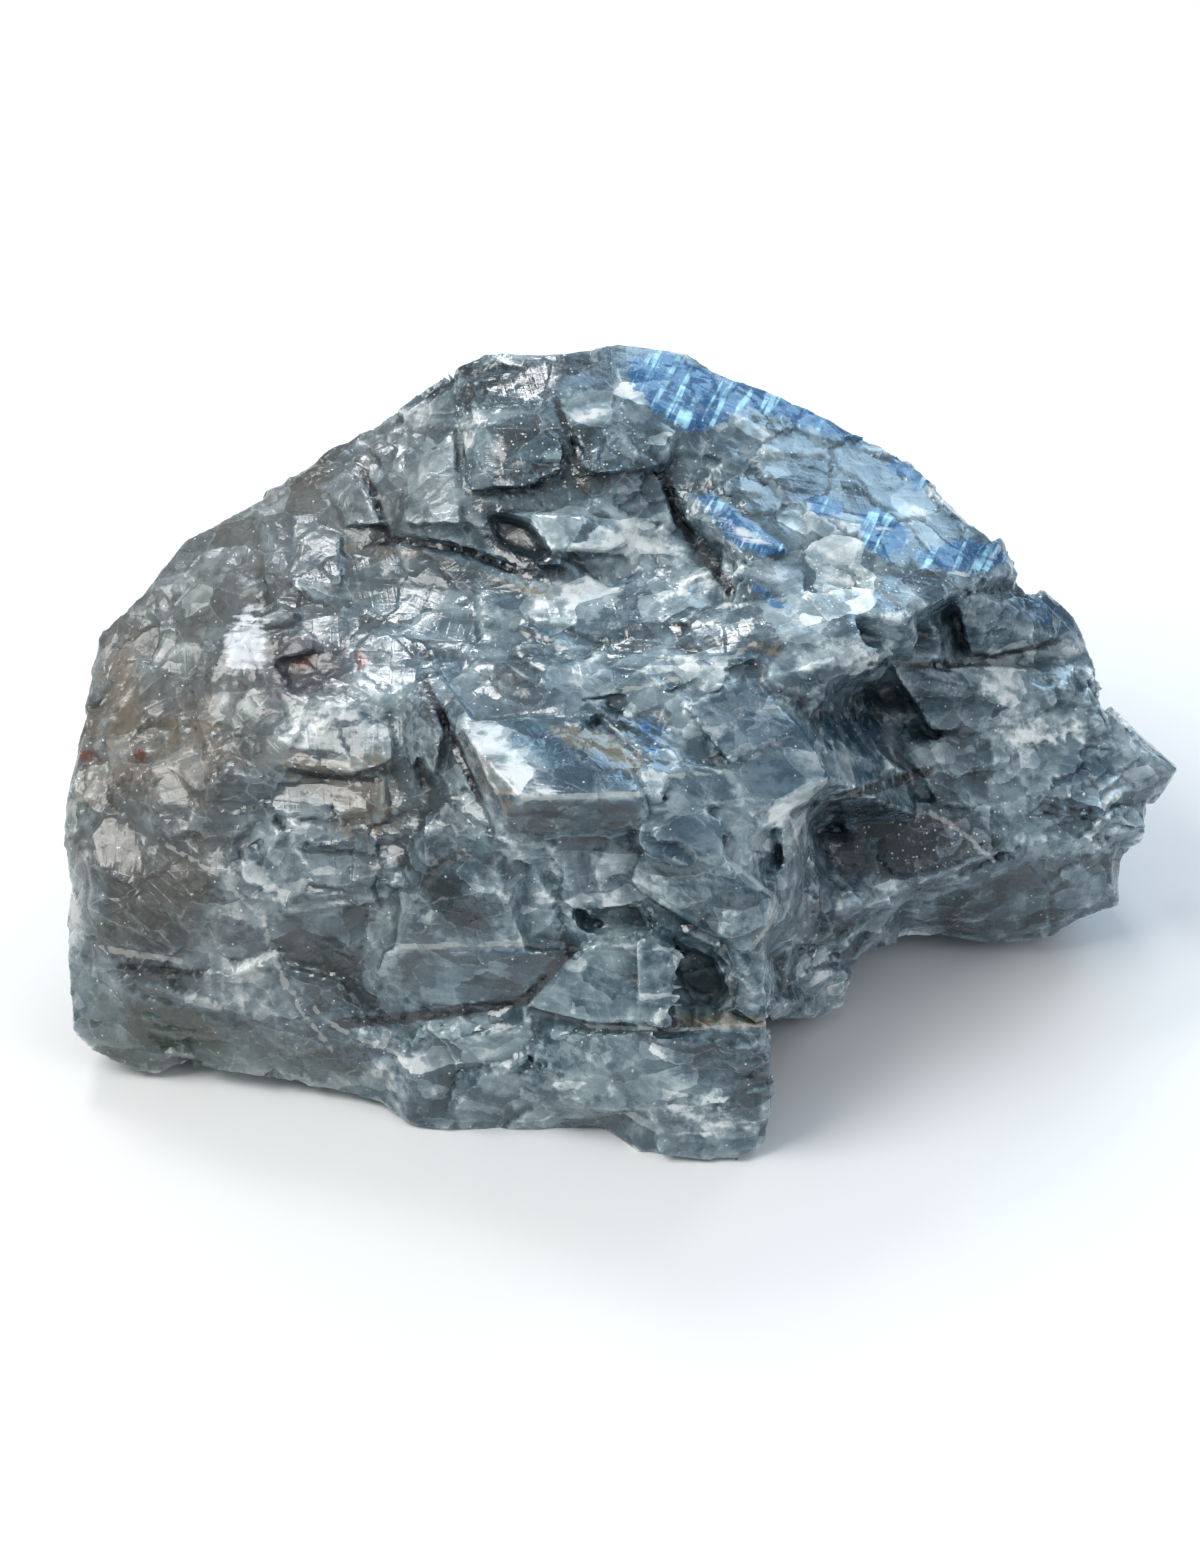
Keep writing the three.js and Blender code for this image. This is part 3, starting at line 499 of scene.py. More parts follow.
        Patch("blade edge", ((32, 32.6), (36, 33.4), (42, 36.4), (41, 34.4), (35, 31.4)), 0.9),
        Patch("wing chips", ((37, 48), (44, 49.5), (47, 46), (42, 44.5), (38, 45)), 0.6),
        Patch("step chips", ((-38.6, 33.5), (-34, 34), (-31.5, 30), (-33, 27), (-37, 28)), 0.9),
        Patch("left edge chips", ((-54, 34), (-50, 35), (-49, 31), (-52, 24), (-55, 26)), 0.7),
        Patch("low chips", ((-38, 24), (-33, 23), (-29, 17), (-31, 15.5), (-36, 19)), 0.8),
        # Painted highlight: a glint on a small lump, painted pale
        Patch("lump's painted glint", ((-23, 14.4), (-17.8, 14.2), (-17.6, 12.2), (-22.6, 12.4)), 1.0),
        Patch("toe left", ((-4, 13.5), (-0.5, 14), (2, 11), (-2, 9.5)), 0.9),
        Patch("toe foot", ((5.5, 10), (12, 11.5), (16, 7.5), (8, 5.5)), 0.5),
        Patch("blocks under the crystal", ((-10, 36), (-4.5, 35.8), (-3.5, 31), (-8, 30.4)), 0.8),
        Patch("cavity edge", ((-12.5, 29.8), (-5.5, 30.5), (-4.5, 25.5), (-10, 25.2)), 0.9),
    ),
    Zone.WARM: (
        Patch("left pale patch", (
            (-50, 56), (-46, 55.5), (-45, 51), (-46, 46), (-49.5, 45), (-50.5, 50)), 0.7),
        Patch("brown ground", (
            (-54, 52), (-44, 50), (-38, 51), (-36, 44), (-40, 39), (-47, 40), (-54, 38)), 0.5),
        Patch("teeth", ((-27.2, 42.4), (-20.5, 42), (-22, 37), (-26, 36.5)), 0.9),
        Patch("undercut", ((-33.5, 43.5), (-27, 42.5), (-21, 43), (-21, 44), (-27, 43.8), (-33, 45)), 0.9),
        Patch("crystal side", ((-13.6, 46), (-12.6, 45.2), (-8.6, 40.6), (-9.4, 39), (-12.6, 42.6)), 0.9),
    ),
    Zone.GREEN: (
        Patch("lower left", ((-52, 22), (-40, 20), (-28, 16), (-20, 12), (-30, 10), (-52, 12)), 0.7),
        Patch("green prism", ((17.6, 40), (21, 38), (21.6, 33), (18.6, 30.4)), 0.5),
        Patch("yellow spot", ((10.5, 22), (13.5, 22), (14, 20), (11, 19.6)), 1.0),
    ),
    Zone.DUSKY: (
        Patch("speckled ground", ((-33.5, 56), (-25.5, 56), (-25, 51), (-30, 50), (-33.8, 51))),
    ),
    Zone.DIRT: (
        Patch("crystal dirt", ((-4.6, 47.4), (0, 46.8), (4.4, 44), (3.6, 42.6), (0, 44.6), (-4.6, 46.2))),
        Patch("sandy ledge", ((7.5, 18.6), (16.6, 18.4), (16.6, 17.2), (8, 17.2)), 0.8),
        Patch("rim dirt", ((13.5, 56.4), (17, 56), (19, 54.6), (14.4, 54.6)), 0.6),
        Seam("crack edge", ((-26, 65.2), (-18, 64.6), (-10, 61.8), (-5, 60.4)), 0.5, 0.7),
    ),
    Zone.RUST: (
        Patch("rust spot", ((-30.1, 54.1), (-29.1, 54.1), (-29.1, 53), (-30.1, 53))),
        Patch("right rust spot", ((-24.6, 54.8), (-23.4, 54.8), (-23.2, 53.2), (-24.4, 53.2))),
        Patch("left rust spot", ((-52, 45), (-51, 45.2), (-50.6, 44), (-51.8, 43.6)), 0.8),
        Patch("middle rust spot", ((-46.6, 45), (-45.4, 45.2), (-45.2, 43.8), (-46.4, 43.6)), 0.8),
    ),
    # Painted shadow: near-black lines where cracks lie in shade
    Zone.DARK: (
        Seam("ledge crack", ((-3, 25), (-7.5, 20), (-17, 18.5), (-27, 17.5)), 1.1),
        Seam("upper left crack", ((-24.2, 74), (-22.4, 70), (-21, 66)), 0.7),
        Seam("long crack", ((-24, 65.4), (-20, 66), (-14, 65), (-8.4, 62.8)), 0.6),
        Seam("top crack", ((-4.4, 80), (-2.6, 75), (-1.2, 70.6)), 0.7),
        Seam("slab crack", ((6.4, 72.4), (8, 68), (13, 61)), 1.1),
        Seam("crystal crack", ((-17.4, 51.6), (-14.8, 46.4), (-12, 40)), 0.7),
        Seam("wing crack", ((27, 53.6), (36, 53.4), (46, 56)), 0.5),
        Seam("blade crack", ((21.6, 39.6), (27, 41), (33, 43)), 1.0),
        Seam("nose crack", ((-33, 43.4), (-28, 42.4), (-22, 42)), 0.5),
        Seam("step crack", ((-48, 23.4), (-40, 22.6)), 0.7),
    ),
    Zone.VEIN: (
        Seam("step edge", ((-50, 25.2), (-42, 23.9)), 0.6),
        Seam("neighbour line", ((4.6, 42.2), (12, 42.8)), 0.4),
        Seam("front crystal edge", ((-7.6, 40.2), (4.2, 40.6)), 0.6),
        Seam("foot line", ((-32, 22), (-26, 17), (-20, 14.5)), 0.4),
        Seam("kite foot", ((-20.4, 25.2), (-14, 25.6), (-7.4, 25.6)), 0.5),
        Seam("ledge line", ((-1.6, 17.4), (7, 17), (17, 17.6)), 0.4),
        Seam("overhang edge", ((12.4, 34.4), (17.8, 30), (17, 27.6), (15, 25)), 0.4),
        Seam("wing line", ((32.5, 39.1), (36, 37), (39.5, 33.8)), 0.4),
        Seam("left vein", ((-44, 36), (-38, 32.4), (-33.6, 28), (-33, 25), (-30, 19), (-26, 14)), 0.5, 0.9),
        Seam("upper left vein", ((-34.5, 54), (-30, 56.6), (-24, 54.5)), 0.4, 0.7),
        Seam("rim line", ((0, 50.6), (6, 51.6), (12, 53.6), (17, 56.6), (24, 57.6)), 0.5, 0.8),
        Seam("slab line", ((-15, 38), (-11.5, 30.5), (-7.5, 26)), 0.3, 0.8),
        Seam("slab side", ((-15.6, 39.6), (-19, 34.8), (-20.2, 30)), 0.3, 0.7),
    ),
}


class Surface:
    """A quad mesh held as arrays, in millimetres, with the sums over neighbours that shaping it needs."""

    def __init__(self, mesh: bpy.types.Mesh) -> None:
        """Reads a mesh.

        Args:
            mesh: a closed mesh in metres.
        """
        count = len(mesh.vertices)
        points = np.empty(count * 3, np.float32)
        mesh.vertices.foreach_get("co", points)
        self.points = points.reshape(-1, 3).astype(float) / MM
        edges = np.empty(len(mesh.edges) * 2, np.int32)
        mesh.edges.foreach_get("vertices", edges)
        self.edges = edges.reshape(-1, 2)
        mesh.calc_loop_triangles()
        triangles = np.empty(len(mesh.loop_triangles) * 3, np.int32)
        mesh.loop_triangles.foreach_get("vertices", triangles)
        self.triangles = triangles.reshape(-1, 3)
        self.valence = np.bincount(self.edges.ravel(), minlength=count)

    def normals(self) -> np.ndarray:
        """Works out the normals at the vertices, weighted by the area of their faces.

        Returns:
            One unit row for each vertex.
        """
        a, b, c = (self.points[self.triangles[:, k]] for k in range(3))
        faces = np.cross(b - a, c - a)
        total = np.zeros_like(self.points)
        for k in range(3):
            for axis in range(3):
                total[:, axis] += np.bincount(self.triangles[:, k], faces[:, axis], len(self.points))
        return total / np.maximum(np.linalg.norm(total, axis=1, keepdims=True), 1e-9)

    def neighbours_mean(self, values: np.ndarray) -> np.ndarray:
        """The mean of a value over each vertex's neighbours.

        Args:
            values: one row for each vertex.

        Returns:
            The means, in the same shape.
        """
        columns = values.reshape(len(values), -1)
        start, end = self.edges.T
        means = [
            (np.bincount(start, column[end], len(values)) + np.bincount(end, column[start], len(values)))
            / self.valence
            for column in columns.T
        ]
        return np.stack(means, axis=1).reshape(values.shape)

    def smoothed(self, values: np.ndarray, rounds: int, share: float = 0.5) -> np.ndarray:
        """Evens out a value over the surface.

        Args:
            values: one row for each vertex.
            rounds: how often.
            share: how far each round goes towards the neighbours' mean.

        Returns:
            The evened values.
        """
        for _ in range(rounds):
            values = values + share * (self.neighbours_mean(values) - values)
        return values


def shelf(value: np.ndarray, *salt: np.ndarray) -> np.ndarray:
    """Cuts a line into uneven shelves about 1 long.

    Args:
        value: places on the line.
        salt: whole numbers: rows with other ones are cut elsewhere.

    Returns:
        The number of the shelf that each place is on.
    """
    nearest = np.floor(value + 0.5)
    border = nearest + 0.7 * (scramble(nearest, *salt) - 0.5)
    return np.where(value >= border, nearest, nearest - 1).astype(np.int64)


@dataclass
class BrokenStone:
    """The stone's visible body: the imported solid, broken finely into cleavage facets.

    Args:
        grains: the crystal grains, which say how it cleaves where.
        passes: the rounds of facets, from coarse to fine.
        voxel: the spacing of the mesh that is shaped.
        most_triangles: what the finished mesh is thinned to.
        crease_deg: edges sharper than this stay sharp in the shading.
        grain_warp_mm: how far the borders between grains wander.
        grain_bend_mm: over what length they wander.
        crystal_mm: the usual size of the small crystals in a grain.
        crystal_warp_mm: how far the borders between crystals wander.
        crystal_bend_mm: over what length they wander.
        crystal_turn_deg: how far a crystal may be turned from its grain's directions.
        broken_mm: the size of the areas that are more or less broken.
        spared: how much of the breaking unbroken faces are spared, from 0 to 1.
        facet_tilt: how far each facet turns its own way at random.
        table_mm: vertices that start below this height stay on the table.
        ridge_mm: how far a vertex of a full ridge stands out from its neighbours' mean.
        hollow_mm: how deep a vertex of a full hollow lies under the evened surface.
        patch_border_mm: the width of the soft border of a patch.
        wide_border_mm: the same for the zones where it differs.
        seam_border_mm: the width of the soft border of a seam.
        sights: the lines along which the patches were placed.
    """

    grains: tuple[Grain, ...]
    passes: tuple[FacetPass, ...]
    voxel: float = 0.38 * MM
    most_triangles: int = 190_000
    crease_deg: float = 22.0
    grain_warp_mm: float = 9.0
    grain_bend_mm: float = 11.0
    crystal_mm: float = 8.0
    crystal_warp_mm: float = 3.0
    crystal_bend_mm: float = 3.5
    crystal_turn_deg: float = 55.0
    broken_mm: float = 9.0
    spared: float = 0.85
    facet_tilt: float = 0.10
    table_mm: float = 0.3
    ridge_mm: float = 0.07
    hollow_mm: float = 1.2
    patch_border_mm: float = 1.1
    wide_border_mm: tuple[tuple[Zone, float], ...] = (
        (Zone.WARM, 5.0), (Zone.GREEN, 5.0), (Zone.DUSKY, 3.0), (Zone.DEEP_AND_SHADE, 1.6), (Zone.MILKY, 1.4),
    )
    seam_border_mm: float = 0.55
    sights: SightLines = field(default_factory=SightLines)

    def build(self) -> bpy.types.Object:
        """Makes the stone's mesh and writes what the finish reads to its attributes.

        Returns:
            The stone, dressed in no material yet.
        """
        stone = self._remeshed()
        surface = Surface(stone.data)
        tones = self._shape(surface)
        stone.data.vertices.foreach_set("co", (surface.points * MM).astype(np.float32).ravel())
        stone.data.update()
        self._thin(stone)
        self._keep_in_box(stone.data)
        self._write_attributes(stone.data, surface.points, tones)
        stone.data.polygons.foreach_set("use_smooth", np.ones(len(stone.data.polygons), bool))
        stone.data.set_sharp_from_angle(angle=math.radians(self.crease_deg))
        return stone

    def _remeshed(self) -> bpy.types.Object:
        """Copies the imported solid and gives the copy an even, fine mesh.

        Returns:
            The copy.
        """
        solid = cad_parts[STONE_NODE]
        stone = bpy.data.objects.new("calcite_stone", solid.data.copy())
        bpy.context.scene.collection.objects.link(stone)
        remesh = stone.modifiers.new("even mesh", "REMESH")
        remesh.mode = "VOXEL"
        remesh.voxel_size = self.voxel
        self._apply(stone)
        self._keep_largest_part(stone.data)
        return stone

    @staticmethod
    def _keep_largest_part(mesh: bpy.types.Mesh) -> None:
        """Takes out crumbs that the even mesh has cut loose from the stone.

        Args:
            mesh: what is cleaned, in place.
        """
        edges = np.empty(len(mesh.edges) * 2, np.int32)
        mesh.edges.foreach_get("vertices", edges)
        start, end = edges.reshape(-1, 2).T
        part = np.full(len(mesh.vertices), -1)
        following = np.arange(len(mesh.vertices))
        while not np.array_equal(part, following):
            part = following
            lowest = np.minimum(part[start], part[end])
            following = part.copy()
            np.minimum.at(following, start, lowest)
            np.minimum.at(following, end, lowest)
            following = following[following]
        crumbs = np.flatnonzero(part != np.bincount(part).argmax())
        log.info("crumbs taken out: %d vertices", len(crumbs))
        if not len(crumbs):
            return
        body = bmesh.new()
        body.from_mesh(mesh)
        body.verts.ensure_lookup_table()
        bmesh.ops.delete(body, geom=[body.verts[index] for index in crumbs], context="VERTS")
        body.to_mesh(mesh)
        body.free()

    def _thin(self, stone: bpy.types.Object) -> None:
        """Takes out the triangles that the flat facets don't need.

        Args:
            stone: what is thinned, in place.
        """
        stone.data.calc_loop_triangles()
        decimate = stone.modifiers.new("thin", "DECIMATE")
        decimate.ratio = min(1.0, self.most_triangles / len(stone.data.loop_triangles))
        decimate.use_collapse_triangulate = True
        self._apply(stone)

    @staticmethod
    def _keep_in_box(mesh: bpy.types.Mesh) -> None:
        """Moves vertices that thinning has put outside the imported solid's box back to its sides.

        Args:
            mesh: what is changed, in place.
        """
        points = np.empty(len(mesh.vertices) * 3, np.float32)
        mesh.vertices.foreach_get("co", points)
        low, high = (np.array(corner, np.float32) for corner in CAD_BOX)
        mesh.vertices.foreach_set("co", np.clip(points.reshape(-1, 3), low, high).ravel())
        mesh.update()

    @staticmethod
    def _apply(piece: bpy.types.Object) -> None:
        """Turns an object's modifiers into its mesh.

        Args:
            piece: the object.
        """
        evaluated = piece.evaluated_get(bpy.context.evaluated_depsgraph_get())
        mesh = bpy.data.meshes.new_from_object(evaluated)
        piece.modifiers.clear()
        piece.data = mesh

    def _grain_of(self, points: np.ndarray) -> np.ndarray:
        """Finds the grain that each point belongs to.

        Args:
            points: N points in millimetres.

        Returns:
            N indices into the grains.
        """
        bend = [value_noise(points, self.grain_bend_mm, seed) - 0.5 for seed in (41, 42, 43)]
        warped = points + np.stack(bend, axis=1) * self.grain_warp_mm
        middles = np.array([grain.middle_mm for grain in self.grains])
        return np.argmin(np.linalg.norm(warped[:, None] - middles, axis=2), axis=1)

    def _crystals(self, points: np.ndarray) -> Crystals:
        """Splits the grains into small crystals, each turned a little its own way.

        Args:
            points: N points in millimetres.

        Returns:
            The crystals, with the index of each point's own one.
        """
        bend = [value_noise(points, self.crystal_bend_mm, seed) - 0.5 for seed in (61, 62, 63)]
        cell = (points + np.stack(bend, axis=1) * self.crystal_warp_mm) / self.crystal_mm
        low = np.floor(cell).astype(np.int64)
        nearest = np.full(len(points), np.inf)
        chosen = np.zeros_like(low)
        for step in np.ndindex(3, 3, 3):
            corner = low + np.array(step) - 1
            jitter = [scramble(*corner.T, np.full(len(corner), seed)) for seed in (64, 65, 66)]
            distance = np.linalg.norm(cell - corner - np.stack(jitter, axis=1), axis=1)
            closer = distance < nearest
            nearest[closer] = distance[closer]
            chosen[closer] = corner[closer]
        whole = np.column_stack([self._grain_of(points), chosen])
        kinds, index = np.unique(whole, axis=0, return_inverse=True)
        index = index.ravel()
        random = [scramble(*kinds.T, np.full(len(kinds), seed)) for seed in (67, 68, 69, 70)]
        axes = np.stack(random[:3], axis=1) - 0.5
        axes /= np.linalg.norm(axes, axis=1, keepdims=True)
        angles = random[3] * math.radians(self.crystal_turn_deg)
        edges = np.array([grain.edges() for grain in self.grains])[kinds[:, 0]]
        normals = np.array([grain.normals() for grain in self.grains])[kinds[:, 0]]
        return Crystals(index, turned(edges, axes, angles), turned(normals, axes, angles))

    def _shape(self, surface: Surface) -> np.ndarray:
        """Breaks the surface into facets, coarse ones first.

        Args:
            surface: what is shaped.

        Returns:
            For each vertex, the tone of its facet in every pass, as columns of numbers from 0 to 1.
        """
        low, high = (np.array(corner) / MM for corner in CAD_BOX)
        start = surface.points.copy()
        crystals = self._crystals(start)
        broken = np.clip(3.0 * value_noise(start, self.broken_mm, 81) - 1.1, 0.15, 0.85)
        share = broken * (1 - self.spared * self._zones(start)[Zone.WHOLE.value])
        tones = []
        for step in self.passes:
            tones.append(self._break(surface, crystals, start, share, step))
        worn = self._wear_share(surface.points)
        for _ in range(2):
            towards = surface.neighbours_mean(surface.points) - surface.points
            surface.points = surface.points + towards * worn[:, None]
        on_table = start[:, 2] < self.table_mm
        surface.points[on_table, 2] = start[on_table, 2]
        surface.points = np.clip(surface.points, low, high)
        return np.stack(tones, axis=1)

    def _break(
        self, surface: Surface, crystals: Crystals, start: np.ndarray, share: np.ndarray, step: FacetPass
    ) -> np.ndarray:
        """Makes one pass of facets.

        Args:
            surface: what is shaped, in place.
            crystals: the crystals that the vertices belong to.
            start: where the vertices were before any pass: the cells are cut there.
            share: how much of the pass each vertex takes part in, from 0 to 1.
            step: the size and depth of the facets.

        Returns:
            The tone of each vertex's facet, from 0 to 1.
        """
        normals = surface.smoothed(surface.normals(), step.smoothing)
        normals /= np.maximum(np.linalg.norm(normals, axis=1, keepdims=True), 1e-9)
        bend = [value_noise(start, step.size_mm * 1.5, step.seed + k) - 0.5 for k in range(3)]
        placed = crystals.coordinates(start + np.stack(bend, axis=1) * step.size_mm * 0.4)
        x, y, z = (placed / (np.array(step.shape) * step.size_mm)).T
        salt = crystals.index + 100_000 * step.seed
        layer = shelf(z, salt)
        row = shelf(y, layer, salt)
        column = shelf(x, row, layer, salt)
        cleavage = crystals.normals[crystals.index]
        leaning = np.einsum("nkj,nj->nk", cleavage, normals)
        plane = np.argmax(np.abs(leaning), axis=1)
        side = np.take_along_axis(leaning, plane[:, None], axis=1)[:, 0] > 0
        key = (scramble(column, row, layer, salt, plane * 2 + side) * 2**24).astype(np.int64)
        _, facet, count = np.unique(key, return_inverse=True, return_counts=True)
        middle = self._facet_means(surface.points, facet, count)
        facing = self._facet_means(normals, facet, count)
        facing /= np.maximum(np.linalg.norm(facing, axis=1, keepdims=True), 1e-9)
        planes = np.take_along_axis(cleavage, plane[:, None, None], axis=1)[:, 0]
        nearest_plane = self._facet_means(planes * np.where(side, 1, -1)[:, None], facet, count)
        order = np.arange(len(count))
        tilt = [scramble(order, np.full(len(count), step.seed + k)) - 0.5 for k in range(3)]
        facing = facing * (1 - step.lean) + nearest_plane * step.lean
        facing += self.facet_tilt * np.stack(tilt, axis=1)
        facing /= np.maximum(np.linalg.norm(facing, axis=1, keepdims=True), 1e-9)
        lift = (scramble(order, np.full(len(count), step.seed + 7)) - 0.5) * 2 * step.proud_mm
        aim = facing[facet]
        gap = np.einsum("nj,nj->n", middle[facet] - surface.points, aim) + lift[facet]
        move = gap / np.maximum(np.einsum("nj,nj->n", normals, aim), 0.5)
        move = np.clip(move, -step.cap_mm, step.cap_mm) * share
        surface.points = surface.points + normals * move[:, None]
        return scramble(order, np.full(len(count), step.seed + 11))[facet]

    @staticmethod
    def _facet_means(values: np.ndarray, facet: np.ndarray, count: np.ndarray) -> np.ndarray:
        """The mean of each column of values over each facet."""
        sums = [np.bincount(facet, column, len(count)) for column in values.T]
        return np.stack(sums, axis=1) / count[:, None]

    @staticmethod
    def _worn(points: np.ndarray) -> np.ndarray:
        """How worn the stone is: its upper left flank is, and its middle isn't.

        Args:
            points: N points in millimetres.

        Returns:
            N numbers from 0 to 1.
        """
        starts_mm, full_after_mm = -14.0, 28.0
        foot_mm, rise_mm, least = 2.0, 18.0, 0.3
        broad_mm, fine_mm = 12.0, 3.0
        broad = value_noise(points, broad_mm, 52) - 0.5
        fine = value_noise(points, fine_mm, 53) - 0.5
        broken = 0.9 * broad + 0.4 * fine
        left = np.clip((starts_mm - points[:, 0]) / full_after_mm + broken, 0, 1)
        return left * np.clip((points[:, 2] - foot_mm) / rise_mm, least, 1)

    def _wear_share(self, points: np.ndarray) -> np.ndarray:
        """How far edges give way at each point."""
        return 0.12 + 0.18 * self._worn(points) + 0.1 * value_noise(points, 14.0, 51)

    def _write_attributes(self, mesh: bpy.types.Mesh, shaped: np.ndarray, tones: np.ndarray) -> None:
        """Writes facet tones, zones, edges and cleavage coordinates to the thinned mesh.

        Args:
            mesh: the thinned mesh.
            shaped: the vertices before thinning, in millimetres.
            tones: their facet tones.
        """
        surface = Surface(mesh)
        points = surface.points
        tree = KDTree(len(shaped))
        for index, point in enumerate(shaped):
            tree.insert(point, index)
        tree.balance()
        nearest = np.array([tree.find(point)[1] for point in points])
        crystals = self._crystals(points)
        values = {f"tone_{k}": tones[nearest, k] for k in range(tones.shape[1])}
        values["ridge"], values["crease"] = self._ridges_and_creases(surface)
        values["worn"] = self._worn(points)
        values["hollow"] = self._hollows(surface)
        values.update(self._zones(points))
        for name, value in values.items():
            attribute = mesh.attributes.new(name, "FLOAT", "POINT")
            attribute.data.foreach_set("value", value.astype(np.float32))
        places, _ = self.sights.find(points)
        # So that the fine steps don't run on from one crystal into the next
        offset_mm = 37.0 * scramble(crystals.index, np.full(len(points), 71))[:, None]
        vectors = {
            "sight": np.column_stack([places, np.zeros(len(places))]),
            "cleavage": crystals.coordinates(points) + offset_mm,
        }
        for name, vector in vectors.items():
            attribute = mesh.attributes.new(name, "FLOAT_VECTOR", "POINT")
            attribute.data.foreach_set("vector", vector.astype(np.float32).ravel())

    def _ridges_and_creases(self, surface: Surface) -> tuple[np.ndarray, np.ndarray]:
        """How sharply the surface stands out and folds in.

        Args:
            surface: the mesh that is measured.

        Returns:
            For each vertex, how much of a ridge and how much of a crease it is, from 0 to 1.
        """
        from_mean = surface.points - surface.neighbours_mean(surface.points)
        evened = surface.smoothed(np.einsum("nj,nj->n", surface.normals(), from_mean), 1)
        return np.clip(evened / self.ridge_mm, 0, 1), np.clip(-evened / self.ridge_mm, 0, 1)

    def _hollows(self, surface: Surface) -> np.ndarray:
        """How deep the vertices lie in hollows and cracks.

        Args:
            surface: the mesh that is measured.

        Returns:
            For each vertex, a number from 0 to 1.
        """
        evened = surface.smoothed(surface.points, 40)
        inward = np.einsum("nj,nj->n", surface.smoothed(surface.normals(), 6), evened - surface.points)
        return np.clip(inward / self.hollow_mm, 0, 1)

    def _zones(self, points: np.ndarray) -> dict[str, np.ndarray]:
        """How much of each zone there is at each vertex.

        Args:
            points: the vertices in millimetres.

        Returns:
            For each zone's attribute, numbers from 0 to 1 that pass 0.5 at the patches' borders.
        """
        places, _ = self.sights.find(points)
        in_sight = self.sights.seen(points)
        border_mm = dict(self.wide_border_mm)
        zones = {zone.value: np.zeros(len(points)) for zone in Zone}
        for zone, patches in PATCHES.items():
            for patch in patches:
                is_seam = isinstance(patch, Seam)
                border = self.seam_border_mm if is_seam else border_mm.get(zone, self.patch_border_mm)
                depth = np.clip(0.5 + patch.depth_mm(places) / border, 0, 1) * patch.strength * in_sight
                zones[zone.value] = np.maximum(zones[zone.value], depth)
        return zones


class Nodes:
    """A node tree that is filled node by node."""

    def __init__(self, tree: bpy.types.NodeTree) -> None:
        """Empties the tree.

        Args:
            tree: the node tree of a material or of the world.
        """
        self.tree = tree
        self.tree.nodes.clear()

    def add(
        self, kind: str, inputs: dict[int | str, object], out: int | str = 0, **settings: object
    ) -> bpy.types.NodeSocket | None:
        """Adds a node with its settings and links.

        Args:
            kind: the node's type, without "ShaderNode".
            inputs: for each input, by name or number, a value or a socket to link.
            out: the output to give back, by name or number.
            settings: values of the node's own properties.

        Returns:
            That output, or nothing for a node without outputs.
        """
        node = self.tree.nodes.new("ShaderNode" + kind)
        for name, value in settings.items():
            setattr(node, name, value)
        for key, value in inputs.items():
            if isinstance(value, bpy.types.NodeSocket):
                self.tree.links.new(value, node.inputs[key])
            else:
                node.inputs[key].default_value = value
        return node.outputs[out] if node.outputs else None


def new_material(name: str) -> tuple[bpy.types.Material, Nodes]:
    """Makes a material with an empty node tree.

    Args:
        name: what the real material is and how its surface was made.

    Returns:
        The material and its nodes.
    """
    material = bpy.data.materials.new(name)
    material.use_nodes = True
    return material, Nodes(material.node_tree)


